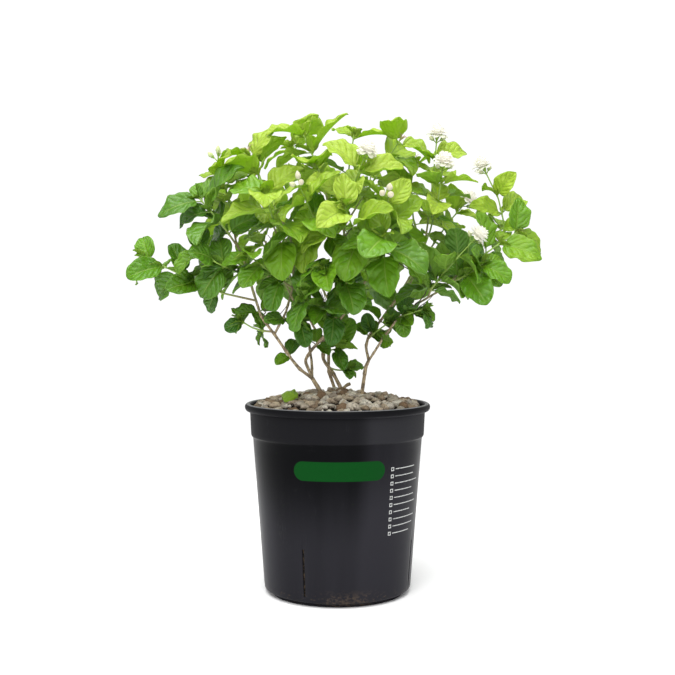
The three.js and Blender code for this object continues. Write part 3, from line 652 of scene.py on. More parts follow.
# %% Pot wall
def pot_wall():
    """A grid of profile points and angles: (r sin a, -r cos a, z). Cells in a slit are left out."""
    profile = pot_profile()
    half_slit = SLITS["width"] / 2 / (POT["body_foot_radius"] + 2)
    slits = np.radians(SLITS["angles"])
    even = np.linspace(-np.pi, np.pi, 160, endpoint=False)
    away = np.abs((even[:, None] - slits + np.pi) % TURN - np.pi).min(axis=1)
    a = np.sort(np.concatenate([
        even[away > 1.6 * half_slit],
        (slits - half_slit + np.pi) % TURN - np.pi,
        (slits + half_slit + np.pi) % TURN - np.pi,
    ]))
    radius, height = profile[:, :1], profile[:, 1:]
    points = np.stack([radius * np.sin(a), -radius * np.cos(a), height + 0 * a], axis=-1)
    rows, columns = points.shape[:2]
    k, i = np.meshgrid(np.arange(rows - 1), np.arange(columns), indexing="ij")
    j = (i + 1) % columns
    below, above = k * columns, (k + 1) * columns
    cells = np.stack([below + i, below + j, above + j, above + i], axis=-1)
    middle = a + np.diff(np.append(a, a[0] + TURN)) / 2
    in_slit = np.abs((middle[:, None] - slits + np.pi) % TURN - np.pi).min(axis=1) < half_slit
    level = (height[:-1, 0] + height[1:, 0]) / 2 / MM
    low = (level > SLITS["bottom"]) & (level < SLITS["top"])
    kept = cells[~(low[:, None] & in_slit[None])]
    mesh = bpy.data.meshes.new("nursery_pot_wall")
    mesh.from_pydata(points.reshape(-1, 3).tolist(), [], kept.tolist())
    mesh.polygons.foreach_set("use_smooth", np.ones(len(kept), bool))
    made = placed("nursery_pot_wall", mesh, [pot_finish], ["nursery_pot"])
    shell = made.modifiers.new("wall", "SOLIDIFY")
    shell.thickness = POT["wall"] * MM
    shell.offset = 0
    return made


wall = pot_wall()
print("pot wall:", len(wall.data.polygons), "cells of the grid")

# %% Pot bottom
def ring_of(radius, centre, count):
    """Points of a circle in the plane of the floor, with a fourth number of 1 for the curve."""
    a = np.arange(count) / count * TURN
    flat = np.stack([centre[0] + radius * np.cos(a), centre[1] + radius * np.sin(a)], axis=1)
    return np.concatenate([flat, np.zeros((count, 1)), np.ones((count, 1))], axis=1)


def pot_bottom():
    """A disc with round holes, as a filled flat curve that is thickened and made a mesh."""
    curve = bpy.data.curves.new("bottom_outline", "CURVE")
    curve.dimensions = "2D"
    curve.fill_mode = "BOTH"
    curve.extrude = POT["floor"] / 2 * MM
    turns = np.arange(DRAINS["count"]) / DRAINS["count"] * TURN
    holes = [(DRAINS["circle"] * MM * np.cos(t), DRAINS["circle"] * MM * np.sin(t)) for t in turns]
    outlines = [ring_of((POT["foot"] - 0.2) * MM, (0, 0), 96)]
    outlines += [ring_of(DRAINS["radius"] * MM, hole, 24) for hole in holes]
    for outline in outlines:
        spline = curve.splines.new("POLY")
        spline.points.add(len(outline) - 1)
        spline.points.foreach_set("co", outline.ravel())
        spline.use_cyclic_u = True
    flat = bpy.data.objects.new("bottom_outline", curve)
    scene.collection.objects.link(flat)
    bpy.context.view_layer.update()
    mesh = bpy.data.meshes.new_from_object(flat)
    bpy.data.objects.remove(flat)
    mesh.transform(Matrix.Translation((0, 0, POT["floor"] / 2 * MM)))
    mesh.materials.clear()
    return placed("nursery_pot_bottom", mesh, [pot_finish])


bottom = pot_bottom()
print("pot bottom:", len(bottom.data.polygons), "faces")

# %% [markdown]
# ## What fills the pot
# Below the stones lies a dark, damp growing medium. It shows only through the slits and the holes,
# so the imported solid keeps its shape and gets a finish: dark crumbs from two sizes of noise.

# %% Growing medium
def medium_finish():
    f = Finish("damp_growing_medium")
    point = f.coordinates()[0]
    crumbs, dust = f.noise(point, 350, 4), f.noise(point, 1500, 2)
    colour = f.mix(crumbs.step(0.45, 0.62), (0.012, 0.008, 0.005), (0.13, 0.09, 0.055))
    return f.surface(colour, 0.95, f.bump(crumbs + 0.3 * dust, 2 * MM))


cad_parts["growing_medium"].material_slots[0].material = medium_finish()

# %% [markdown]
# ## Pumice stones
# The mulch is dry pumice: lumpy stones of 10 to 20 mm in tan, grey brown and a pinkish white,
# heaped towards the stems. Each stone is a ball seen through soft planes. For a direction p, the
# radius is one over the length of all that the planes' normals n have in p's direction:
# r(p) = (sum of max(p . n / d, 0)^18)^(-1/18). A high power gives flat faces with rounded edges.
# Knobs and hollows, and then smaller crumbs and pits, each add h exp(sharpness (p . k - 1)) round
# their own direction k.
#
# The stones sit on a net of triangles with some play, and a second, sparser layer lies on it. A bed
# of fine crumbs closes the gaps under them. Each point of a stone knows how low it is, so the
# finish
# can paint shade there: a brown painted shade low down and a near-black painted shade on what is
# buried. The pores get painted shade too.

# %% Pumice finish
def pumice_finish():
    f = Finish("dry_pumice")
    point = f.coordinates()[0]
    tint, shade, bed, low = f.value("tint"), f.value("shade"), f.value("bed"), f.value("low")
    cloud, pores = f.noise(point, 230, 4, 0.7), f.noise(point, 620, 4, 0.75)
    tan = f.mix(tint.step(0.05, 0.4), (0.32, 0.21, 0.125), (0.76, 0.62, 0.45))
    stone = f.mix(tint.step(0.45, 0.95), tan, (0.98, 0.91, 0.78))
    grey = f.mix(shade.step(0.6, 0.9) * 0.7, stone, (0.50, 0.45, 0.37))
    blotched = f.mix(cloud.step(0.42, 0.72) * 0.6, grey, (0.15, 0.10, 0.062))
    # Painted shade in the pores of the pumice.
    painted_pore_shade = f.mix(pores.step(0.46, 0.3) * 0.85, blotched, (0.05, 0.035, 0.023))
    # Painted shade: brown low down on each stone, near black on what is buried between them.
    sunk = low + 0.5 * (cloud - 0.5)
    painted_shade_low = f.mix(sunk.step(0.1, 0.36) * 0.62, painted_pore_shade, (0.12, 0.08, 0.048))
    painted_shade_deep = f.mix(sunk.step(0.3, 0.52), painted_shade_low, (0.018, 0.012, 0.007))
    grains = (cloud + 0.6 * pores).step(0.72, 0.95)
    crumbs = f.mix(grains, (0.05, 0.034, 0.021), (0.27, 0.205, 0.135))
    colour = f.mix(bed, painted_shade_deep, crumbs)
    return f.surface(colour, 0.95, f.bump(cloud + 0.8 * pores, 7 * MM), Specular_IOR_Level=0.2)


pumice = pumice_finish()

# %% The heap and its stones
MOUND = {"edge": 236, "rise": 18, "radius": 112.8, "proud": 6.2, "dip": 3.2}
STONES = {
    "spacing": 14.2, "play": 2.3, "sizes": (5.6, 9.4), "reach": 104.0, "margin": 6.5,
    "upper": 80, "upper_sizes": (4.6, 8.4), "upper_rise": 1.2, "uneven": (-2.4, 1.6),
    "fuller": 1.07, "planes": 8, "depth": (0.62, 1.0), "power": 18, "stretch": (0.75, 1.1),
}
LUMPS = [
    {"count": 16, "sharpness": 11, "height": (-0.26, 0.2)},
    {"count": 48, "sharpness": 45, "height": (-0.13, 0.1)},
]


def mound(x, y):
    """The height of the heap's ground, in mm: edge + rise (1 - (r / radius)^2)."""
    return MOUND["edge"] + MOUND["rise"] * (1 - (x * x + y * y) / MOUND["radius"] ** 2)


def stone_rings(centres, sizes, stretch, stations=12, around=18):
    """Balls with the radius r(p) of the text above, stretched along three axes of their own."""
    count = len(centres)
    planes = unit(chance.normal(size=(count, STONES["planes"], 3)))
    depth = chance.uniform(*STONES["depth"], (count, STONES["planes"]))
    polar = np.linspace(0.12, np.pi - 0.12, stations)[:, None]
    a = (np.arange(around) / around * TURN)[None]
    ball = [np.sin(polar) * np.cos(a), np.sin(polar) * np.sin(a), -np.cos(polar) + 0 * a]
    ball = np.stack(ball, axis=-1)
    facing = np.einsum("sai,nki->nsak", ball, planes) / depth[:, None, None]
    reached = (np.maximum(facing, 0) ** STONES["power"]).sum(-1)
    radius = np.maximum(reached, 0.06) ** (-1 / STONES["power"])
    for lump in LUMPS:
        ways = unit(chance.normal(size=(count, lump["count"], 3)))
        height = chance.uniform(*lump["height"], (count, lump["count"]))[:, None, None]
        near = np.exp(lump["sharpness"] * (np.einsum("sai,nki->nsak", ball, ways) - 1))
        radius = radius + (near * height).sum(-1)
    body = ball[None] * radius[..., None] * stretch[:, None, None]
    turned, _ = np.linalg.qr(chance.normal(size=(count, 3, 3)))
    turned *= np.sign(np.linalg.det(turned))[:, None, None]
    body = np.einsum("nsai,nij->nsaj", body, turned)
    return (centres[:, None, None] + body * sizes[:, None, None, None]) * MM


print("the heap rises to", mound(0, 0), "mm in the middle")

# %% Where the stones lie
def stone_places():
    """Centres and sizes in mm: a jittered net of triangles, then a sparse layer on top of it."""
    step = STONES["spacing"]
    i, j = np.meshgrid(np.arange(-12, 13), np.arange(-14, 15))
    x = (i + (j % 2) / 2) * step
    y = j * step * np.sqrt(0.75)
    net = np.stack([x.ravel(), y.ravel()], axis=1)
    net = net + chance.uniform(-STONES["play"], STONES["play"], net.shape)
    far = STONES["reach"] * np.sqrt(chance.uniform(0, 1, STONES["upper"]))
    turn = chance.uniform(0, TURN, STONES["upper"])
    upper = np.stack([far * np.cos(turn), far * np.sin(turn)], axis=1)
    flat = np.concatenate([net, upper])
    sizes = np.concatenate([
        chance.uniform(*STONES["sizes"], len(net)),
        chance.uniform(*STONES["upper_sizes"], len(upper)),
    ])
    on_top = np.arange(len(flat)) >= len(net)
    proud = MOUND["proud"] + chance.uniform(*STONES["uneven"], len(flat))
    proud = proud + STONES["upper_rise"] * on_top
    height = mound(*flat.T) + proud - 0.8 * sizes
    inside = np.hypot(*flat.T) < STONES["reach"] + STONES["margin"] - sizes
    return np.column_stack([flat, height])[inside], sizes[inside]


def bed_rings():
    """A low heap under the stones: rings of radius r at the mound's height less a dip."""
    profile = [(108, 226.6), (110.2, 227), (110.6, 233)]
    profile += [(r, mound(r, 0) - MOUND["dip"]) for r in np.linspace(106, 2, 14)]
    a = np.arange(72) / 72 * TURN
    rows = [np.stack([r * np.cos(a), r * np.sin(a), z + 0 * a], axis=-1) for r, z in profile]
    return np.array(rows)[None] * MM


print("the bed under the stones has", bed_rings().shape[1], "rings")

# %% Stones in the pot
LEAF_REACH = 15
centres, sizes = stone_places()
sizes *= STONES["fuller"]
leaf_low, leaf_high = (np.array(corner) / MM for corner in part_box("fallen_leaf"))
under_leaf = np.hypot(*(centres - (leaf_low + leaf_high) / 2)[:, :2].T) < LEAF_REACH
tops = centres[:, 2] + 0.8 * sizes
centres[under_leaf, 2] -= np.maximum(tops[under_leaf] - leaf_low[2] - 0.5, 0)
rings = stone_rings(centres, sizes, chance.uniform(*STONES["stretch"], (len(centres), 3)))
crowns = centres[:, 2] + 0.85 * sizes
# How far below its crown each point lies, which the finish uses for painted shade.
low = (crowns[:, None, None] - rings[..., 2] / MM) / (1.5 * sizes)[:, None, None]
each = (len(centres), 1, 1)
tint, shade = chance.uniform(0, 1, each), chance.uniform(0, 1, each)
skins = [skin(rings, low=np.clip(low, 0, 1), tint=tint, shade=shade), skin(bed_rings(), bed=1.0)]
stones = piece("pumice_stones", skins, [pumice], ["pumice_mulch"])
print(len(centres), "stones and their bed,", triangles(stones), "triangles")

# %% [markdown]
# ## Woody stems
# Four stems rise from the stones and fork. Their bark is thin, tan and finely streaked, and turns
# greener towards the young ends. A stem grows straight from one leaf node to the next and bends
# there, so each branch is a tube along straight stretches with rounded corners, a little slimmer
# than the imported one. The radius tapers evenly, swells by a quarter at the nodes, which are 30 mm
# apart, and wavers a little: r(s) = 0.76 taper (1 + 0.25 exp(-(d / 2.2 mm)^2) + 0.05 sin ... +
# 0.03 sin ...), where d is the way to the nearest node.
#
# The longer branches also carry two dry twigs each, the thin brown rest of old growth.

# %% Bark
def bark_finish():
    f = Finish("tan_bark")
    point = f.coordinates()[0]
    young, dry = f.value("young"), f.value("dry")
    streak = f.noise(f.stretched(point, (1, 1, 0.12)), 1500, 4, 0.6)
    patch = f.noise(point, 140, 4)
    old = f.mix(streak.step(0.35, 0.65), (0.17, 0.115, 0.062), (0.60, 0.48, 0.30))
    worn = f.mix(patch.step(0.45, 0.65) * 0.7, old, (0.085, 0.062, 0.042))
    green = f.mix(streak, (0.14, 0.165, 0.045), (0.27, 0.29, 0.09))
    colour = f.mix((young + 0.35 * (patch - 0.5)).step(0.35, 0.95), worn, green)
    colour = f.mix(dry, colour, (0.085, 0.062, 0.042))
    return f.surface(colour, 0.8 - 0.2 * young, f.bump(streak + 0.4 * patch, 0.5 * MM))


bark = bark_finish()

# %% The table of stems
WOOD = {
    "left": {
        "trunk": {"radius": [4.2, 3.6], "route": [[-12, 0, 165], [-19, 0, 255], [-33, -2, 278]]},
        "outer": {"radius": [2.8, 1.7], "route": [
            [-33, -2, 278], [-49, -8, 290], [-60, -14, 304], [-81, -25, 336], [-97, -36, 358],
            [-107, -46, 392], [-116, -52, 425], [-128, -50, 455],
        ]},
        "inner": {"radius": [2.1, 1.6], "route": [
            [-81, -25, 336], [-66, -32, 364], [-57, -40, 395], [-55, -48, 430], [-60, -52, 462],
        ]},
        "across": {"radius": [2.8, 1.7], "route": [
            [-33, -2, 278], [-43, 3, 301], [-34, 0, 315], [-16, -10, 334], [2, -20, 353],
            [23, -34, 384], [38, -46, 408], [50, -56, 436], [58, -62, 462],
        ]},
        "upright": {"radius": [2, 1.6], "route": [
            [23, -34, 384], [15, -36, 405], [6, -36, 432], [-4, -34, 462], [-8, -30, 490],
        ]},
        "rear": {"radius": [2.3, 1.6], "route": [
            [-33, -2, 278], [-34, 14, 298], [-40, 35, 335], [-60, 60, 380], [-80, 80, 420],
            [-92, 92, 450],
        ]},
    },
    "middle": {
        "trunk": {"radius": [4, 1.7], "route": [
            [14, 12, 165], [8, 12, 257], [-6, 14, 284], [-19, 16, 301], [-19, 20, 322],
            [-8, 26, 360], [4, 34, 405], [8, 40, 450], [10, 44, 490],
        ]},
        "side": {"radius": [2, 1.5], "route": [
            [-19, 20, 322], [-40, 22, 360], [-62, 20, 410], [-75, 18, 455],
        ]},
        "stub": {"radius": [3, 2.6], "route": [[6, 12, 261], [11, 10, 268], [17, 9, 270]]},
    },
    "back": {
        "trunk": {"radius": [3.6, 1.7], "route": [
            [0, 40, 165], [-4, 38, 262], [-12, 38, 285], [-12, 50, 315], [0, 70, 355],
            [18, 95, 400], [30, 110, 440],
        ]},
        "side": {"radius": [2, 1.5], "route": [[0, 70, 355], [-20, 95, 395], [-35, 118, 430]]},
    },
    "right": {
        "trunk": {"radius": [3.4, 3], "route": [
            [30, 5, 165], [32, 5, 257], [37, 3, 293], [41, 2, 301],
        ]},
        "upper": {"radius": [2.5, 1.7], "route": [
            [41, 2, 301], [37, 6, 319], [41, 8, 333], [56, 12, 352], [80, 18, 385], [102, 20, 420],
            [115, 18, 450],
        ]},
        "lower": {"radius": [2.1, 1.6], "route": [
            [41, 2, 301], [51, -4, 317], [60, -10, 332], [76, -20, 354], [100, -32, 374],
            [130, -42, 392], [150, -46, 410],
        ]},
        "rear": {"radius": [2, 1.5], "route": [
            [56, 12, 352], [75, 35, 375], [100, 60, 405], [118, 80, 435],
        ]},
    },
}

print(sum(len(branches) for branches in WOOD.values()), "branches on", len(WOOD), "stems")

# %% Woody stems
SLIM = 0.76
NODE = {"pitch": 30 * MM, "swell": 0.25, "reach": 2.2 * MM}
DRY = {"share": (0.4, 0.92), "length": (26, 60), "rise": (0.1, 0.9), "zigzag": 0.5 * MM}


def route_of(branch):
    """The corners of a branch in metres."""
    return np.array(branch["route"], float) * MM


def limb(branch, seed):
    """Rings of one branch, and for each ring how young its bark is."""
    path = softened(route_of(branch))
    along = np.concatenate([[0], np.cumsum(np.linalg.norm(np.diff(path, axis=0), axis=1))])
    share = along / along[-1]
    thick, thin = SLIM * np.array(branch["radius"])
    taper = (thick + (thin - thick) * share) * MM
    to_node = np.abs((along / NODE["pitch"] + 0.3 * seed + 0.5) % 1 - 0.5) * NODE["pitch"]
    swell = NODE["swell"] * np.exp(-((to_node / NODE["reach"]) ** 2))
    a = np.arange(12) / 12 * TURN
    waver = 0.05 * np.sin(along[:, None] * 260 + 2 * a + seed)
    waver = waver + 0.03 * np.sin(along[:, None] * 700 + 3 * a)
    radius = taper[:, None] * (1 + swell[:, None] + waver)
    young = ease(0.27, 0.46, path[:, 2])
    return tube(path, radius, 12), young[None, :, None]


def dry_twig(branch, stations=12):
    """A thin dead twig from a branch: start + L (x way + x^2 up / 3) with a slight zigzag."""
    start = on_stretch(route_of(branch), chance.uniform(*DRY["share"]))
    turn, length = chance.uniform(0, TURN), chance.uniform(*DRY["length"]) * MM
    way = unit([np.cos(turn), np.sin(turn), chance.uniform(*DRY["rise"])])
    x = np.linspace(0, 1, stations)[:, None]
    path = start + length * (x * way + x * x * UP / 3)
    path[1:-1] += chance.normal(0, DRY["zigzag"], (stations - 2, 3))
    return tube(path, np.linspace(0.85, 0.4, stations) * MM, 6)


for stem, branches in WOOD.items():
    skins = []
    for seed, branch in enumerate(branches.values()):
        rings, young = limb(branch, seed)
        skins.append(skin(rings, young=young))
        if len(branch["route"]) > 4:
            skins += [skin(dry_twig(branch), dry=1.0) for _ in range(2)]
    made = piece("wood_" + stem, skins, [bark], ["woody_stem_" + stem])
    print("wood", stem, "has", len(branches), "branches and", triangles(made), "triangles")

# %% [markdown]
# ## How the leaves grow
# Jasmine leaves stand in opposite pairs, and each pair is turned a quarter round the shoot from
# the pair before. A leaf leaves the twig sideways and then turns its face to the light, so each
# leaf has a frame of three directions: the way it starts, its upper side, and across.
#
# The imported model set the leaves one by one, and turned, lifted or shortened a leaf that would
# touch its neighbours. The same sizes and draws are repeated here, and the setting that was kept
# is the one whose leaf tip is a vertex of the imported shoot. A leaf with no such tip was left out.

# %% The table of shoots
def shoot_at(stem, branch, share, via, pairs, leaf, **more):
    """A shoot: where it leaves the wood, its route, its pairs of leaves and their length in mm."""
    return {"on": (stem, branch, share), "via": via, "pairs": pairs, "leaf": leaf, **more}


SHOOTS = {
    "far_left": shoot_at(
        "left", "outer", 0.66, [[-156, -48, 392], [-204, -52, 416], [-242, -50, 430]], 5, 52,
        face=[0.1, -1, 0.5], turn=1.2,
    ),
    "left_low": shoot_at(
        "left", "outer", 0.8, [[-140, -72, 420], [-170, -80, 440]], 4, 52, face=[-0.3, -1, 0.6],
    ),
    "left_mid": shoot_at(
        "left", "outer", 0.95, [[-146, -62, 476], [-172, -62, 506]], 4, 68, face=[-0.4, -1, 0.8],
    ),
    "left_upper": shoot_at(
        "left", "outer", 1, [[-138, -40, 508], [-152, -32, 556]], 4, 62, ends="buds",
    ),
    "left_top": shoot_at("left", "inner", 1, [[-88, -45, 514], [-112, -38, 566]], 4, 66),
    "left_rear": shoot_at("left", "rear", 1, [[-122, 95, 490], [-160, 88, 530]], 3, 62),
    "left_rear_low": shoot_at("left", "rear", 0.75, [[-118, 88, 418], [-162, 92, 436]], 3, 60),
    "front_left": shoot_at("left", "inner", 0.85, [[-74, -86, 468], [-88, -112, 508]], 4, 70),
    "front_left_low": shoot_at("left", "inner", 0.5, [[-80, -74, 412], [-108, -104, 434]], 4, 56),
    "front_mid_left": shoot_at(
        "left", "upright", 0.7, [[-22, -78, 468], [-44, -118, 512]], 4, 68, ends="buds",
    ),
    "front_mid": shoot_at("left", "across", 0.85, [[26, -92, 452], [8, -128, 490]], 4, 70),
    "front_mid_low": shoot_at("left", "across", 0.66, [[8, -72, 402], [-16, -112, 420]], 4, 62),
    "front_low": shoot_at("left", "across", 0.5, [[-12, -56, 368], [-40, -92, 382]], 3, 56),
    "front_right": shoot_at(
        "left", "across", 1, [[64, -94, 474], [60, -122, 500]], 4, 62, ends="buds",
    ),
    "front_right_low": shoot_at("left", "across", 0.93, [[58, -100, 434], [56, -130, 456]], 4, 70),
    "crown_left": shoot_at("left", "upright", 1, [[-24, -26, 546], [-44, -18, 592]], 4, 70),
    "crown_front": shoot_at(
        "left", "upright", 0.9, [[14, -68, 508], [33, -88, 554]], 4, 62, ends="bloom",
    ),
    "crown_top": shoot_at(
        "middle", "trunk", 1, [[14, 38, 548], [22, 30, 600]], 4, 70, face=[-0.2, -0.6, 1],
    ),
    "crown_rear_left": shoot_at("middle", "trunk", 0.95, [[-28, 52, 532], [-60, 52, 588]], 3, 66),
    "crown_right": shoot_at("middle", "trunk", 0.97, [[50, 24, 542], [82, 10, 590]], 4, 66),
    "crown_rear": shoot_at("middle", "trunk", 0.85, [[8, 96, 500], [-8, 130, 544]], 3, 66),
    "inside_left": shoot_at("middle", "side", 1, [[-96, 14, 508], [-108, 12, 562]], 3, 62),
    "inside_rear": shoot_at("middle", "side", 0.8, [[-92, 40, 446], [-130, 40, 484]], 3, 60),
    "back_right": shoot_at("back", "trunk", 0.95, [[62, 124, 476], [92, 144, 514]], 3, 66),
    "back_top": shoot_at("back", "trunk", 1, [[38, 128, 500], [48, 124, 562]], 3, 66, ends="bloom"),
    "back_left": shoot_at("back", "side", 1, [[-62, 136, 466], [-96, 146, 502]], 3, 64),
    "back_left_low": shoot_at("back", "side", 0.7, [[-58, 126, 408], [-92, 142, 416]], 3, 58),
    "back_low": shoot_at("back", "trunk", 0.72, [[42, 116, 402], [56, 148, 414]], 3, 56),
    "right_top": shoot_at(
        "right", "upper", 1, [[122, -4, 516], [127, -22, 584]], 4, 60, ends="bloom",
    ),
    "right_tall": shoot_at(
        "right", "upper", 0.9, [[160, 14, 444], [214, 4, 462], [212, -2, 504], [192, -6, 546]], 5,
        52, ends="bloom", face=[0.2, -1, 0.5], turn=0.6,
    ),
    "right_out": shoot_at(
        "right", "lower", 1, [[186, -42, 438], [228, -38, 466]], 4, 56, face=[0.3, -1, 0.7],
        turn=0.4,
    ),
    "right_low": shoot_at(
        "right", "lower", 0.92, [[160, -64, 410], [180, -72, 424]], 4, 58, face=[0.2, -1, 0.6],
    ),
    "right_front": shoot_at(
        "right", "lower", 0.75, [[122, -72, 402], [166, -84, 452]], 4, 56, ends="bloom",
    ),
    "right_shoulder": shoot_at(
        "right", "upper", 0.93, [[122, -48, 484], [130, -72, 542]], 4, 58, ends="bloom",
    ),
    "right_under": shoot_at("right", "lower", 0.5, [[88, -40, 362], [108, -50, 368]], 3, 38),
    "right_rear": shoot_at(
        "right", "rear", 1, [[146, 84, 478], [174, 78, 512]], 3, 62, ends="bloom",
    ),
    "right_rear_low": shoot_at("right", "rear", 0.8, [[136, 84, 414], [172, 88, 430]], 3, 60),
    "right_inside": shoot_at("right", "upper", 0.97, [[98, 42, 510], [104, 56, 568]], 3, 64),
    "sprig_left": shoot_at(
        "left", "outer", 0.45, [[-104, -26, 342], [-122, -26, 352]], 2, 40, face=[0, -1, 0.5],
    ),
    "sprig_middle": shoot_at(
        "middle", "trunk", 0.42, [[-12, 2, 314], [-2, -6, 316]], 1, 50, face=[0, -0.8, 1],
    ),
    "sprig_right": shoot_at(
        "right", "upper", 0.28, [[52, -2, 340], [66, -8, 350]], 2, 36, face=[0, -1, 0.5],
    ),
    "sprig_inner": shoot_at(
        "left", "inner", 0.2, [[-62, -40, 352], [-46, -50, 352]], 2, 42, face=[0, -1, 0.5],
    ),
    "sprig_low": shoot_at(
        "middle", "trunk", 0.3, [[2, 0, 288], [12, -6, 290]], 1, 32, face=[0, -0.8, 1],
    ),
}
print(len(SHOOTS), "shoots in the table")

# %% Routes of shoots and frames of leaves
SETTINGS = [
    [0, 0, 1], [22, 0, 1], [-22, 0, 1], [0, 20, 1], [0, -20, 1], [32, 14, 0.92], [-32, -14, 0.92],
    [40, -12, 0.85], [-40, 12, 0.85], [0, 0, 0.78], [0, 34, 0.8], [0, -34, 0.75],
    [60, 0, 0.72], [-60, 0, 0.72],
]
CROWN_AXIS = np.array([0, 10, 0]) * MM


def shoot_path(shoot):
    """The route's points, and the corners of the straight stretches that the twig follows."""
    stem, branch, share = shoot["on"]
    start = on_stretch(route_of(WOOD[stem][branch]), share)
    points = np.concatenate([[start], np.array(shoot["via"], float) * MM])
    return points, catmull(points, np.linspace(0, 1, len(points) + 1))


def shoot_tip(name):
    """The end of a shoot, and the direction in which it points."""
    points, _ = shoot_path(SHOOTS[name])
    return points[-1], heading(points, 1)


def leaf_frame(point, tangent, spin, lift, share, face, sway):
    """A leaf's start, upper side and across: it starts sideways and faces the light."""
    outward = unit((point - CROWN_AXIS) * [1, 1, 0])
    first = unit(np.cross(UP if abs(tangent[2]) < 0.8 else outward, tangent))
    away = first * np.cos(spin) + np.cross(tangent, first) * np.sin(spin)
    sky = np.array(face, float) if face else 0.75 * UP + 0.35 * outward
    light = unit(sky + 0.45 * np.array([np.cos(TURN * sway), np.sin(TURN * sway), 0]))
    start = unit(away + tangent * (0.15 + 0.5 * share) + 0.2 * outward + 0.1 * UP)
    facing = unit(light - start * (light @ start))
    direction = start * np.cos(lift) + facing * np.sin(lift)
    normal = facing * np.cos(lift) - start * np.sin(lift)
    return direction, normal, np.cross(direction, normal)


def tip_of(leaf):
    """The end of a midrib, which is an arc of the angle bend."""
    bend, length = leaf["bend"], leaf["length"]
    along = leaf["direction"] * np.sin(bend) - leaf["normal"] * (1 - np.cos(bend))
    return leaf["base"] + along * length / bend


print("the crown's top shoot ends at", shoot_tip("crown_top")[0].round(3).tolist())

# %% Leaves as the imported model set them
def packed_points(node):
    """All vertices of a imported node, as an array."""
    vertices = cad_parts[node].data.vertices
    points = np.empty(3 * len(vertices))
    vertices.foreach_get("co", points)
    return points.reshape(-1, 3)


def taper_of(height, phase):
    """How soon a blade narrows: sooner high up, and a little different for each leaf."""
    return 0.56 + 0.28 * ease(0.38, 0.5, height) + 0.06 * np.sin(8 * phase)


BLADE_WIDTH = 0.36
SAME_PLACE = 0.1 * MM


def leaves_of(name, seed):
    """The leaves of a shoot, each as a dict of its frame, its sizes and its place on the shoot."""
    shoot = SHOOTS[name]
    tips = packed_points("leafy_shoot_" + name)
    points, corners = shoot_path(shoot)
    draw = draws(seed)
    turned = shoot["turn"] if "turn" in shoot else TURN * next(draw)
    leaves = []
    for pair in range(shoot["pairs"]):
        share = pair / (shoot["pairs"] - 1) if shoot["pairs"] > 1 else 1
        t = 0.3 + (0.54 if "ends" in shoot else 0.66) * share
        for half in (0, 1):
            turn, size, sway, bend, fold, phase, shift = (next(draw) for _ in range(7))
            length = shoot["leaf"] * (1 - 0.35 * abs(share - 0.55)) * (0.82 + 0.32 * size) * MM
            spin = turned + np.pi * (pair / 2 + half) + 0.6 * (turn - 0.5)
            base = on_stretch(corners, t - 0.03 * shift)
            form = {
                "base": base, "share": share, "bend": 0.45 + 0.85 * bend,
                "fold": 0.12 + 0.38 * fold, "phase": TURN * phase,
                "taper": taper_of(base[2], TURN * phase),
            }
            for more_spin, lift, part in SETTINGS:
                direction, normal, side = leaf_frame(
                    base, heading(points, t), spin + np.radians(more_spin), np.radians(lift),
                    share, shoot.get("face"), sway,
                )
                leaf = {
                    **form, "direction": direction, "normal": normal, "side": side,
                    "length": length * part, "width": BLADE_WIDTH * chance.uniform(0.88, 1.05),
                }
                if np.linalg.norm(tips - tip_of(leaf), axis=1).min() < SAME_PLACE:
                    leaves.append(leaf)
                    break
    return leaves


grown = {name: leaves_of(name, seed) for seed, name in enumerate(SHOOTS)}
print(sum(len(leaves) for leaves in grown.values()), "leaves on", len(grown), "shoots")

# %% [markdown]
# ## The form of a leaf
# An Arabian jasmine leaf is broad and egg-shaped, with a waved margin, a strong midrib and four or
# five pairs of side veins, and the blade swells between the veins like a quilt. It could be one
# leaf copied many times, but then each would wave and curl alike. Instead all leaves of a shoot
# are worked out together, as one array over leaf, station and point of the ring.
#
# With u the way along the blade and v the way across, the half width is w(u) = 0.36 L ovate(u),
# where ovate(u) = u^0.5 (1 - u)^taper over its greatest value, and each leaf has a width and taper
# of its own. A point of the blade stands at v w to the side. It is lifted by w times the sum of a
# trough |v|^1.3 sin fold, a wave v^2 0.1 sin(2 pi 2.3 u + phase + v) and a shorter frill with v^4,
# and by L times a crumple, which is the product of two slanting waves, and the quilting. The side
# veins lie where c = 5.4 (u - 0.3 |v| - 0.1 v^2) + 0.4 is whole, and sin^2(pi c) is the quilting.
# The stalk is a round ring of 0.8 mm, which turns into the flat ring of the blade and stays on
# under it as the midrib.

# %% Sizes and nets of leaves
LEAF = {
    "petiole": 0.13, "stalk": 0.8 * MM, "waves": 2.3, "wave": 0.1, "frills": 4.1, "frill": 0.045,
    "crumple": 0.03, "veins": 5.4, "quilt": 0.02, "thin": 0.17 * MM, "margin": 0.12 * MM,
    "rib": 0.75 * MM, "rib_reach": 0.55 * MM,
}
LARGE = {
    "along": np.concatenate([
        [0.0, 0.012, 0.035, 0.075, 0.13], np.linspace(0.2, 0.93, 14), [0.965, 0.985, 0.9985],
    ]),
    "across": np.array([0.05, 0.15, 0.3, 0.48, 0.66, 0.82, 0.94]),
}
SMALL = {
    "along": np.array([0.0, 0.03, 0.1, 0.22, 0.36, 0.5, 0.64, 0.78, 0.9, 0.965, 0.9985]),
    "across": np.array([0.1, 0.45, 0.8]),
}


def ovate(u, taper):
    """u^0.5 (1 - u)^taper over its greatest value, which it has at u = 0.5 / (0.5 + taper)."""
    widest = 0.5 / (0.5 + taper)
    return u**0.5 * (1 - u) ** taper / (widest**0.5 * (1 - widest) ** taper)


def flat_ring(across):
    """Places across, from -1 to 1 on the upper face and back on the lower one, and the face."""
    inner = np.concatenate([-across[::-1], [0], across])
    v = np.concatenate([[-1], inner, [1], inner[::-1]])
    face = np.concatenate([[0], np.ones(len(inner)), [0], -np.ones(len(inner))])
    return v, face


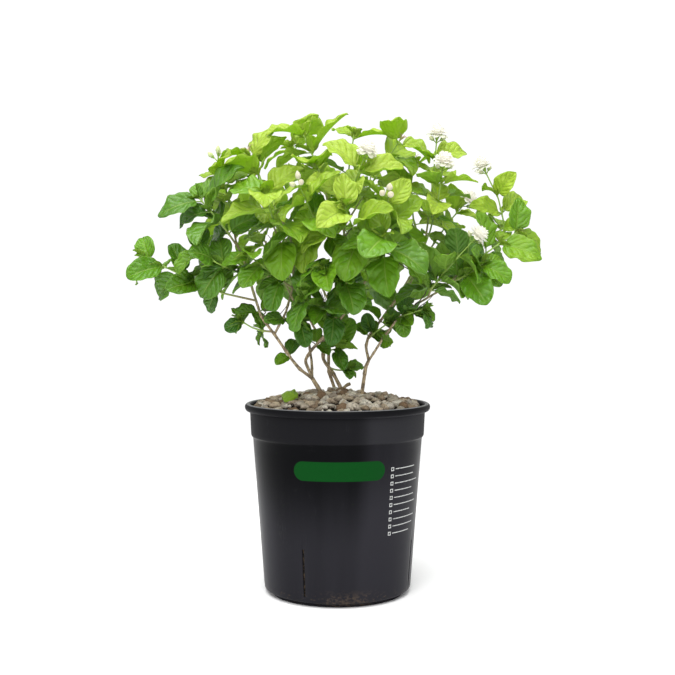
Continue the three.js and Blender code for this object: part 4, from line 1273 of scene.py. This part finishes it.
def column(leaves, name, axes):
    """One of the leaves' values as an array with some axes of length 1 after the first."""
    values = np.array([leaf[name] for leaf in leaves])
    return values.reshape(len(leaves), *[1] * axes, *values.shape[1:])


print("a leaf's net:", len(LARGE["along"]) + 3, "rings of", len(flat_ring(LARGE["across"])[0]))

# %% Leaf surfaces
def vein_count(u, across):
    """A number that is whole on each side vein, for arrays and for a finish's numbers alike."""
    return LEAF["veins"] * (u - 0.3 * across - 0.1 * across * across) + 0.4


def blade_lift(u, v, half, length, fold, phase):
    """How far the middle of the blade stands over the plane of its midrib, as the text says."""
    across = np.abs(v)
    trough = np.sign(fold) * across**1.3 * np.sin(np.abs(fold))
    wave = LEAF["wave"] * np.sin(TURN * LEAF["waves"] * u + phase + v) * v**2
    frill = LEAF["frill"] * np.sin(TURN * LEAF["frills"] * u + 3 * phase + 2 * v) * v**4
    one_way = np.sin(TURN * (1.6 * u + 0.7 * v) + 2 * phase)
    other_way = np.sin(TURN * (0.9 * v - 1.1 * u) + 5 * phase)
    crumple = LEAF["crumple"] * one_way * other_way * np.minimum(3 * across, 1)
    swell = np.sin(np.pi * vein_count(u, across)) ** 2 * across**0.6 * (1 - v**2)
    quilting = LEAF["quilt"] * swell * ease(1, 0.8, u)
    return half * (trough + wave + frill) + length * (crumple + quilting)


def leaf_rings(leaves, net=LARGE, petiole=LEAF["petiole"]):
    """The rings of leaves by the formulas above, and u, v and the face of their points."""
    on_stalk = [-0.015, 0.3 * petiole, 0.75 * petiole]
    t = np.concatenate([on_stalk, petiole + (1 - petiole) * net["along"]])
    v, face = flat_ring(net["across"])
    u = np.clip((t - petiole) / (1 - petiole), 0, 1)
    names = ("length", "bend", "fold", "phase", "width", "taper")
    length, bend, fold, phase, width, taper = (column(leaves, name, 2) for name in names)
    names = ("base", "direction", "normal", "side")
    base, direction, normal, side = (column(leaves, name, 2) for name in names)
    arc = np.maximum(t, 0)[None, :, None] * bend
    forward = length * np.sin(arc) / bend + np.minimum(t, 0)[None, :, None] * length
    down = length * (1 - np.cos(arc)) / bend
    middle = base + direction * forward[..., None] - normal * down[..., None]
    upper = direction * np.sin(arc)[..., None] + normal * np.cos(arc)[..., None]
    u, v, face = u[None, :, None], v[None, None], face[None, None]
    blade = ease(0.0, 0.05, u)
    tip = np.sqrt(np.clip((1 - u) / 0.02, 0, 1))
    stalk = LEAF["stalk"] * (1 - 0.45 * ease(0, 0.6, u)) * tip
    broad = width * length * ovate(u, taper)
    half = np.sqrt(broad**2 + (stalk * (1 - blade)) ** 2) + LEAF["margin"] * tip
    lift = blade * blade_lift(u, v, half, length, fold, phase)
    round_one = stalk * np.sqrt(np.clip(1 - v**2, 0, 1))
    ridge = np.exp(-((v * half / LEAF["rib_reach"]) ** 2)) * LEAF["rib"] * (1 - u) ** 0.7
    flat_one = LEAF["thin"] * (1 - v**8) * tip + ridge * (face < 0)
    rise = lift + face * (round_one * (1 - blade) + flat_one * blade)
    reach = v * half * np.cos(fold * np.abs(v))
    rings = middle + side * reach[..., None] + upper * rise[..., None]
    return rings, np.broadcast_to(u, rings.shape[:3]), v, face


def blades(leaves, net, age, tint):
    """The skin of some leaves, with the values that their finish reads."""
    rings, u, v, face = leaf_rings(leaves, net)
    return skin(rings, u=u, v=(v + 1) / 2, under=(face < 0) * 1.0, age=age, tint=tint)


print("side veins on each half of a leaf:", int(vein_count(1, 0)))

# %% [markdown]
# ## A leaf's finish
# Young leaves at the top are a bright yellow green and thin enough to let light through. Old ones
# below are a deep green with a soft grey sheen. So the colour goes by the leaf's age, its own
# random tint and cloudy noise, and the veins are drawn from the same u and v as the quilting.
# A share of translucent light is mixed in, more in a young leaf, because the light that shines
# through leaves is most of what makes a crown look alive.

# %% Leaf finish
def leaf_finish():
    f = Finish("jasmine_leaf")
    point = f.coordinates()[0]
    u, v = f.blade()
    age, tint, under = f.value("age"), f.value("tint"), f.value("under")
    across = abs(v)
    between = vein_count(u, across).beat() * 2
    fades = u.step(1.0, 0.8) * u.step(0.0, 0.05)
    line = between.step(0.14, 0.03) * across.step(0.95, 0.5) * fades
    midrib = across.step(0.06, 0.02) * u.step(1.05, 0.6)
    veins = (line * 0.5 + midrib).below(1)
    pillow = between * (2 - between) * fades * across.step(0.0, 0.3) * across.step(1.0, 0.75)
    cloud, mesh = f.noise(point, 85, 4, 0.6), f.noise(point, 1300, 3, 0.6)
    broad = f.noise(point, 38, 2)
    old = f.mix(tint, (0.038, 0.138, 0.011), (0.108, 0.255, 0.013))
    middle = f.mix(tint, (0.118, 0.30, 0.011), (0.205, 0.40, 0.014))
    young = f.mix(tint, (0.41, 0.565, 0.040), (0.57, 0.70, 0.095))
    aged = age + 0.25 * (broad - 0.5) + 0.32 * (cloud - 0.5)
    colour = f.mix(aged.step(0.0, 0.5), old, middle)
    colour = f.mix(aged.step(0.45, 1.0), colour, young)
    pale = f.mix(0.6, colour, (0.48, 0.60, 0.15))
    # Darker between the veins: partly the leaf's own colour, partly painted shade of the quilting.
    deep = f.mix(1.0, colour, (0.62, 0.74, 0.6), "MULTIPLY")
    colour = f.mix(pillow * 0.3 * mesh.step(0.2, 0.6), colour, deep)
    colour = f.mix(veins * 0.5, colour, pale)
    matt = f.mix(aged, (0.12, 0.25, 0.035), (0.38, 0.54, 0.10))
    colour = f.mix(under * 0.4, colour, matt)
    colour = f.mix(across.step(0.94, 1.0) * 0.6, colour, pale)
    colour = f.mix(u.step(0.02, 0.0) * 0.7, colour, (0.20, 0.32, 0.04))
    roughness = 0.31 + 0.26 * under + 0.14 * (cloud - 0.5)
    height = 0.55 * pillow + 1.1 * cloud + 0.15 * mesh - 0.15 * line - 0.35 * midrib * (1 - under)
    shape, glow, share = f.bump(height, 1.9 * MM), (0.46, 0.68, 0.010), 0.2 + 0.3 * age
    return f.surface(colour, roughness, shape, glow, share, Specular_IOR_Level=0.42)


leaf = leaf_finish()

# %% [markdown]
# ## Twigs, buds and young leaves
# A shoot's twig is green and thin, tan where it leaves the wood, and thicker at each pair of
# leaves. Some twigs end in three buds: a slim green stalk, a calyx with narrow teeth, and a pale
# egg with a blunt point. The flowering ones end in a calyx whose teeth clasp the bloom, with two
# green buds beside it, and on a few only the dry calyx of a spent bloom is left. Petals are thin,
# so light passes through them, and a faint emission is painted light that stands for what is
# caught between many of them.
#
# Small young leaves fill the crown: two pairs at the tip of a shoot, and single ones in the corners
# of the large leaves, more of them low down and inside. They are the same surface on a coarser net.

# %% Twig finish and petal finish
def twig_finish():
    f = Finish("green_twig")
    point = f.coordinates()[0]
    young, spent = f.value("young"), f.value("spent")
    streak = f.noise(f.stretched(point, (1, 1, 0.2)), 1200, 3)
    tan = f.mix(streak, (0.20, 0.15, 0.07), (0.33, 0.27, 0.13))
    green = f.mix(streak, (0.17, 0.30, 0.035), (0.30, 0.44, 0.08))
    colour = f.mix(young.step(0.0, 0.55), tan, green)
    colour = f.mix(spent, colour, (0.50, 0.34, 0.24))
    return f.surface(colour, 0.5, f.bump(streak, 0.15 * MM))


PETAL_PAINTED_GLOW = (1.0, 0.985, 0.93)


def petal_finish():
    f = Finish("jasmine_petal")
    point = f.coordinates()[0]
    u, v = f.blade()
    ripe = f.value("ripe")
    streak = f.noise(point, 500, 2)
    blush = f.noise(point, 140, 2)
    white = f.mix(streak, (0.67, 0.665, 0.60), (0.79, 0.785, 0.74))
    white = f.mix(blush.step(0.5, 0.75) * 0.3, white, (0.82, 0.70, 0.62))
    base = f.mix(u.step(0.4, 0.0) * 0.45, white, (0.68, 0.74, 0.42))
    cream = f.mix(ripe.step(0.0, 0.5), (0.38, 0.47, 0.14), (0.50, 0.43, 0.30))
    colour = f.mix(ripe.step(0.75, 1.0), cream, base)
    rib = (v * 3).beat().step(0.2, 0.0)
    shape, glow, share = f.bump(rib + streak, 0.08 * MM), (0.97, 0.96, 0.90), 0.15 + 0.4 * ripe
    # A faint emission: painted light that stands for light caught between the petals.
    lit = {"Emission_Color": PETAL_PAINTED_GLOW, "Emission_Strength": 0.18}
    return f.surface(colour, 0.6, shape, glow, share, **lit)


twig = twig_finish()
petal = petal_finish()

# %% Spindles and teeth
BLOOM = {"calyx": 5 * MM, "gap": 0.35 * MM, "sunk": 0.5 * MM, "teeth": 8}


def across_axis(axis):
    """Two directions square to an axis and to each other."""
    side = unit(np.cross(axis, [0.3, 1, 0.1]))
    return side, np.cross(axis, side)


def spindle(point, axis, along, radius, around=10):
    """Rings on a straight axis, with a radius for each distance along it."""
    side, other = across_axis(axis)
    a = (np.arange(around) / around * TURN)[:, None]
    round_it = side * np.cos(a) + other * np.sin(a)
    middle = point + np.asarray(along)[:, None] * axis
    return (middle[:, None] + np.asarray(radius)[:, None, None] * round_it)[None]


def teeth(point, axis, radius, length, opening, count):
    """Narrow curved teeth round a calyx: each is a thin tube along an arc that opens outwards."""
    side, other = across_axis(axis)
    rings = []
    for k in range(count):
        a = k / count * TURN + chance.uniform(-0.15, 0.15)
        out = side * np.cos(a) + other * np.sin(a)
        way = np.linspace(0, 1, 7)[:, None] * length * chance.uniform(0.85, 1.1)
        turn = np.linspace(0.15, opening, 7)[:, None]
        path = point + out * radius + way * (axis * np.cos(turn * 0.6) + out * np.sin(turn * 0.6))
        rings.append(tube(path, 0.5 * MM * np.linspace(1, 0.12, 7) ** 0.7, 5))
    return np.concatenate(rings)


print("a bloom stands in a calyx of", BLOOM["teeth"], "teeth")

# %% Buds and calyces
def bud_skins(point, axis, length, ripe, plump=3.3):
    """A stalk, a calyx and an egg: r(x) = plump sin(pi x^0.85)^0.8 with x along the egg."""
    stalk = spindle(point, axis, np.array([-1 * MM, 0.25 * length, 0.46 * length]), [0.7 * MM] * 3)
    cup_along = length * np.array([0.36, 0.42, 0.48, 0.53])
    cup = spindle(point, axis, cup_along, np.array([0.7, 1.3, 1.9, 2.05]) * MM)
    x = np.linspace(0.03, 0.985, 12)
    egg_along = length * (0.47 + 0.53 * x)
    egg = spindle(point, axis, egg_along, plump * MM * np.sin(np.pi * x**0.85) ** 0.8, 12)
    prongs = teeth(point + axis * 0.51 * length, axis, 1.8 * MM, 5 * MM, 0.7, 6)
    return [
        skin(stalk, 1, young=1.0),
        skin(cup, 1, young=1.0),
        skin(prongs, 1, young=1.0),
        skin(egg, 2, ripe=ripe, u=(1 - x)[None, :, None] * 0.4 + 0.3, v=0.5),
    ]


BUDS = {
    "left_upper": {"ripe": (0.0, 0.1, 0.3), "plump": 3.0, "first": 18, "more": 2.5},
    "front_mid_left": {"ripe": (0.3, 0.5, 0.8), "plump": 3.4, "first": 17, "more": 2.5},
    "front_right": {"ripe": (0.5, 0.6, 0.7), "plump": 3.9, "first": 16, "more": 1.5},
}


def bud_head(name, tip, axis):
    """Three buds that spread from a tip."""
    side, other = across_axis(axis)
    buds = BUDS[name]
    skins = []
    for k, ripe in enumerate(buds["ripe"]):
        a = k / 3 * TURN + 0.4
        way = unit(axis + 0.62 * (side * np.cos(a) + other * np.sin(a)))
        skins += bud_skins(tip, way, (buds["first"] + buds["more"] * k) * MM, ripe, buds["plump"])
    return skins


def calyx_skins(tip, axis, spent=0.0):
    """A cup of radius 1 to 2.8 mm and the teeth that clasp the bloom, or stay when it has gone."""
    along = np.array([-1, 0.5, 2, 3.6, 5]) * MM
    cup = spindle(tip, axis, along, np.array([1.0, 1.3, 2.0, 2.6, 2.8]) * MM, 12)
    prongs = teeth(tip + axis * 4.2 * MM, axis, 2.4 * MM, 8 * MM, 1.9, BLOOM["teeth"])
    return [skin(cup, 1, young=1.0, spent=0.6 * spent), skin(prongs, 1, young=1.0, spent=spent)]


def side_buds(tip, axis):
    """Two green buds on their own stalks beside a bloom's calyx."""
    side, other = across_axis(axis)
    foot = tip - axis * 3 * MM
    skins = []
    for a in chance.uniform(0, 1, 2) + np.array([0.3, 0.3 + np.pi]):
        way = unit(0.75 * axis + side * np.cos(a) + other * np.sin(a))
        skins += bud_skins(foot, way, chance.uniform(13, 17) * MM, 0.2, 2.7)
    return skins


print(len(BUDS), "shoots end in three buds")

# %% Twigs and young leaves
SPENT = ("left_top", "crown_right", "right_inside", "back_left")


def twig_skin(name, leaves):
    """A tube that tapers from 1.35 to 0.85 mm in radius and swells where the leaves stand."""
    _, corners = shoot_path(SHOOTS[name])
    path = softened(corners, 2 * MM)
    share = np.linspace(0, 1, len(path))
    bases = np.array([leaf["base"] for leaf in leaves])
    near = np.linalg.norm(path[:, None] - bases, axis=2).min(axis=1)
    radius = (1.35 - 0.5 * share) * MM * (1 + 0.35 * np.exp(-((near / (1.6 * MM)) ** 2)))
    return skin(tube(path, radius, 8), 1, young=(share * 1.2)[None, :, None])


def square_to(axis, wish):
    """The direction nearest to a wished one that is square to an axis."""
    return unit(wish - axis * (wish @ axis))


def young_leaf(base, direction, length, share, light=UP):
    """A small leaf with its face to the light, as a dict like those of the large leaves."""
    normal = square_to(direction, light + chance.normal(0, 0.35, 3))
    return {
        "base": base, "direction": direction, "normal": normal, "width": 0.33, "taper": 0.75,
        "side": np.cross(direction, normal), "length": length, "share": share,
        "bend": chance.uniform(0.3, 0.9), "fold": chance.uniform(0.25, 0.7),
        "phase": chance.uniform(0, TURN),
    }


def young_leaves(name):
    """Two pairs of leaves at a shoot's tip, and single ones in the corners of large leaves."""
    tip, axis = shoot_tip(name)
    side, other = across_axis(axis)
    young = []
    if "ends" not in SHOOTS[name] and name not in SPENT:
        for out, open_, length in ((side, 0.8, 17), (other, 0.45, 10)):
            for way in (1, -1):
                direction = unit(axis + way * open_ * out)
                size = chance.uniform(0.8, 1.3) * length * MM
                young.append(young_leaf(tip, direction, size, 1.0))
    for leaf in grown[name]:
        inner = 1 - ease(0.39, 0.45, leaf["base"][2])
        for _ in range(1 + int(inner > 0.5)):
            if chance.uniform() < 0.6 + 0.3 * inner:
                way = leaf["direction"] + 0.9 * axis + chance.normal(0, 0.35 + 0.25 * inner, 3)
                length = leaf["length"] * chance.uniform(0.26, 0.46) * (1 + 0.7 * inner)
                young.append(young_leaf(leaf["base"], unit(way), length, leaf["share"]))
    return young


print(len(SPENT), "shoots end in the calyx of a spent bloom")

# %% [markdown]
# ## Leafy shoots
# A leaf's age, from 0 for old to 1 for young, sets its colour. New growth is at the top and at the
# tips, so the age goes by the height of the leaf's base and by its place on the shoot. The small
# leaves are fresher, three shoots at the left are darker as a whole, and about one leaf in six is
# an old one among the others.

# %% Leafy shoots
FRESH = 0.22
OLD = 0.38
DARK = {"left_mid": 0.8, "left_low": 0.25, "inside_left": 0.3}


def ages(name, leaves, fresh):
    """0.95 ease(height) + 0.15 share + fresh, less for a dark shoot or an old leaf, and a draw."""
    height, share = column(leaves, "base", 2)[..., 2], column(leaves, "share", 2)
    age = 0.95 * ease(0.37, 0.53, height) + 0.15 * share + fresh - DARK.get(name, 0)
    old = OLD * (np.sin(9 * column(leaves, "phase", 2)) > 0.85)
    return np.clip(age - old + chance.uniform(-0.1, 0.1, age.shape), 0, 1)


def leafy_shoot(name):
    """One piece for each shoot: its twig, its leaves and what its tip carries."""
    tip, axis = shoot_tip(name)
    ends = SHOOTS[name].get("ends")
    skins = [twig_skin(name, grown[name])]
    groups = [(grown[name], LARGE, 0.0), (young_leaves(name), SMALL, FRESH)]
    for leaves, net, fresh in groups:
        if leaves:
            age = ages(name, leaves, fresh)
            skins.append(blades(leaves, net, age, chance.uniform(0, 1, age.shape)))
    if ends == "buds":
        skins += bud_head(name, tip, axis)
    if ends == "bloom":
        skins += calyx_skins(tip, axis) + side_buds(tip, axis)
    if name in SPENT:
        skins += calyx_skins(tip, axis, spent=1.0)
    return piece("shoot_" + name, skins, [leaf, twig, petal], ["leafy_shoot_" + name])


shoots = [leafy_shoot(name) for name in SHOOTS]
print(len(shoots), "shoots with", sum(triangles(shoot) for shoot in shoots), "triangles")

# %% [markdown]
# ## Spur leaves
# The old wood isn't bare. Pairs of small round leaves sit straight on the branches, mostly in front
# and low down, where they half hide the forks. They are old and dark, and turn their faces to the
# light in front.

# %% Spur leaves
SPURS = {
    "right": {"upper": (0.33, 0.5, 0.62), "lower": (0.3, 0.55)},
    "left": {"across": (0.3, 0.45, 0.6), "outer": (0.3, 0.6)},
    "middle": {"trunk": (0.5, 0.6)},
    "back": {"trunk": (0.6, 0.72)},
}
SPUR = {"length": (23, 34), "age": (0.05, 0.35), "form": {"width": 0.4, "taper": 0.52}}
FRONT = np.array([0.0, -1.0, 0.7])


def spur_leaves(stem):
    """Pairs of small round leaves straight on a stem's branches, turned to the light in front."""
    leaves = []
    for branch, shares in SPURS[stem].items():
        route = route_of(WOOD[stem][branch])
        for share in shares:
            base = on_stretch(route, share)
            axis = unit(on_stretch(route, share + 0.02) - on_stretch(route, share - 0.02))
            away = square_to(axis, chance.normal(size=3) * [1, 0.4, 1])
            for way in (1, -1):
                length = chance.uniform(*SPUR["length"]) * MM
                small = young_leaf(base, unit(way * away + 0.4 * axis), length, 0.4, FRONT)
                leaves.append({**small, **SPUR["form"]})
    each = (len(leaves), 1, 1)
    age, tint = chance.uniform(*SPUR["age"], each), chance.uniform(0, 1, each)
    skins = [blades(leaves, SMALL, age, tint)]
    return piece("spur_leaves_" + stem, skins, [leaf], ["woody_stem_" + stem])


spurs = [spur_leaves(stem) for stem in SPURS]
print(len(spurs), "stems with spur leaves,", sum(triangles(spur) for spur in spurs), "triangles")

# %% [markdown]
# ## Double blooms
# A double bloom is a ball of 44 petals in seven whorls round a closed core. The outer petals lie
# open, the next stand up, and the innermost close over the heart. A petal's middle line is an arc
# in the plane of the axis and its own outward direction: its slope from the axis turns from one
# angle to another along it, and adding up the cosine and sine of the slope gives the line. Across,
# the petal is h(s) = W s^0.55 (1 - s^5)^0.5 wide. It is cupped by the square of the way across and
# ruffled towards its end.

# %% Blooms
WHORLS = [
    {"petals": 8, "length": 13.4, "width": 5.4, "slope": (0.9, 2.3), "cup": 0.15, "foot": 1.6},
    {"petals": 8, "length": 14.6, "width": 5.6, "slope": (0.62, 1.8), "cup": 0.2, "foot": 1.4},
    {"petals": 7, "length": 15.6, "width": 5.4, "slope": (0.42, 1.4), "cup": 0.3, "foot": 1.2},
    {"petals": 7, "length": 16.2, "width": 5.0, "slope": (0.3, 1.0), "cup": 0.4, "foot": 1.0},
    {"petals": 6, "length": 16.8, "width": 4.6, "slope": (0.2, 0.7), "cup": 0.5, "foot": 0.8},
    {"petals": 5, "length": 17.2, "width": 4.2, "slope": (0.12, 0.4), "cup": 0.6, "foot": 0.6},
    {"petals": 3, "length": 17.0, "width": 3.6, "slope": (0.2, -0.2), "cup": 0.8, "foot": 0.4},
]
PETAL = {"thin": 0.14 * MM, "ruffle": 0.22 * MM}


def petal_rings(foot, axis, whorl, turned):
    """The rings of a whorl's petals by the formulas above, and u and v of their points."""
    side, other = across_axis(axis)
    count = whorl["petals"]
    s = np.concatenate([[0.0, 0.06], np.linspace(0.18, 0.9, 7), [0.96, 0.99]])
    v, face = flat_ring(np.array([0.4, 0.8]))
    a = np.arange(count) / count * TURN + turned + chance.uniform(-0.16, 0.16, count)
    out = (side * np.cos(a)[:, None] + other * np.sin(a)[:, None])[:, None]
    size = chance.uniform(0.9, 1.04, count)[:, None, None]
    low, high = whorl["slope"]
    slope = low + (high - low) * s**1.3 + chance.uniform(-0.12, 0.12, (count, 1))
    steps = np.diff(s, prepend=0) * whorl["length"] * MM
    along = np.cumsum(np.cos(slope) * steps, axis=1)[..., None]
    away = np.cumsum(np.sin(slope) * steps, axis=1)[..., None]
    middle = foot + axis * along * size + out * (away * size + whorl["foot"] * MM)
    upper = axis * np.sin(slope)[..., None] - out * np.cos(slope)[..., None]
    broad = np.cross(out, axis)
    half = whorl["width"] * MM * np.maximum(s, 0.06) ** 0.55 * np.sqrt(1 - s**5)
    reach = v * half[:, None]
    cup = whorl["cup"] * v**2 * half[:, None]
    ruffle = PETAL["ruffle"] * np.sin(5 * v + 9 * s[:, None] + TURN * size) * (s**2)[:, None]
    rise = cup + ruffle + face * PETAL["thin"]
    rings = middle[:, :, None] + broad[:, :, None] * reach[..., None]
    rings = rings + upper[:, :, None] * rise[..., None]
    return rings, s[None, :, None], ((v + 1) / 2)[None, None]


def bloom(name):
    """One double bloom on the calyx of its shoot, with an egg of 13 mm as its closed core."""
    tip, axis = shoot_tip(name)
    foot = tip + axis * (BLOOM["calyx"] + BLOOM["gap"] - BLOOM["sunk"])
    x = np.linspace(0, 1, 9)
    along = (2.5 + 13 * x) * MM
    core = spindle(foot, axis, along, 8.2 * MM * np.sin(np.pi * (0.06 + 0.9 * x)) ** 0.7, 14)
    skins = [skin(core, ripe=1.0, u=1.0)]
    for k, whorl in enumerate(WHORLS):
        rings, u, v = petal_rings(foot, axis, whorl, 0.4 * k)
        skins.append(skin(rings, ripe=1.0, u=u, v=v))
    return piece("double_bloom_" + name, skins, [petal], ["bloom_" + name])


blooms = [bloom(name) for name, shoot in SHOOTS.items() if shoot.get("ends") == "bloom"]
print(len(blooms), "blooms with", sum(triangles(b) for b in blooms), "triangles")

# %% [markdown]
# ## The fallen leaf
# One leaf has dropped on the stones. It's the same surface as the others, yellow green, short and
# broad. It is arched and tilted, so that its face looks to the front, and it lies where the packed
# one came to rest.

# %% Fallen leaf
FALLEN = {
    "place": (-51, -36), "length": 26, "heading": 186, "rise": 0.8, "tilt": 0.85,
    "bend": 1.6, "fold": -0.35, "width": 0.52, "taper": 0.6, "phase": 0.0,
}


def fallen_leaf():
    """The leaf's frame: it heads one way, rises from the ground and is tilted to the front."""
    turn, rise, tilt = np.radians(FALLEN["heading"]), FALLEN["rise"], FALLEN["tilt"]
    level = np.array([np.cos(turn), np.sin(turn), 0])
    direction = level * np.cos(rise) + UP * np.sin(rise)
    normal = UP * np.cos(rise) - level * np.sin(rise)
    normal = normal * np.cos(tilt) - np.cross(direction, normal) * np.sin(tilt)
    lying = {
        **FALLEN, "base": np.array([*FALLEN["place"], 0.0]) * MM, "direction": direction,
        "normal": normal, "side": np.cross(direction, normal), "length": FALLEN["length"] * MM,
    }
    rings, u, v, face = leaf_rings([lying], petiole=0.04)
    rings[..., 2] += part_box("fallen_leaf")[0].z + 0.3 * MM - rings[..., 2].min()
    blade = skin(rings, u=u, v=(v + 1) / 2, under=(face < 0) * 1.0, age=0.7, tint=0.5)
    return piece("fallen_jasmine_leaf", [blade], [leaf], ["fallen_leaf"])


print("fallen leaf:", triangles(fallen_leaf()), "triangles")
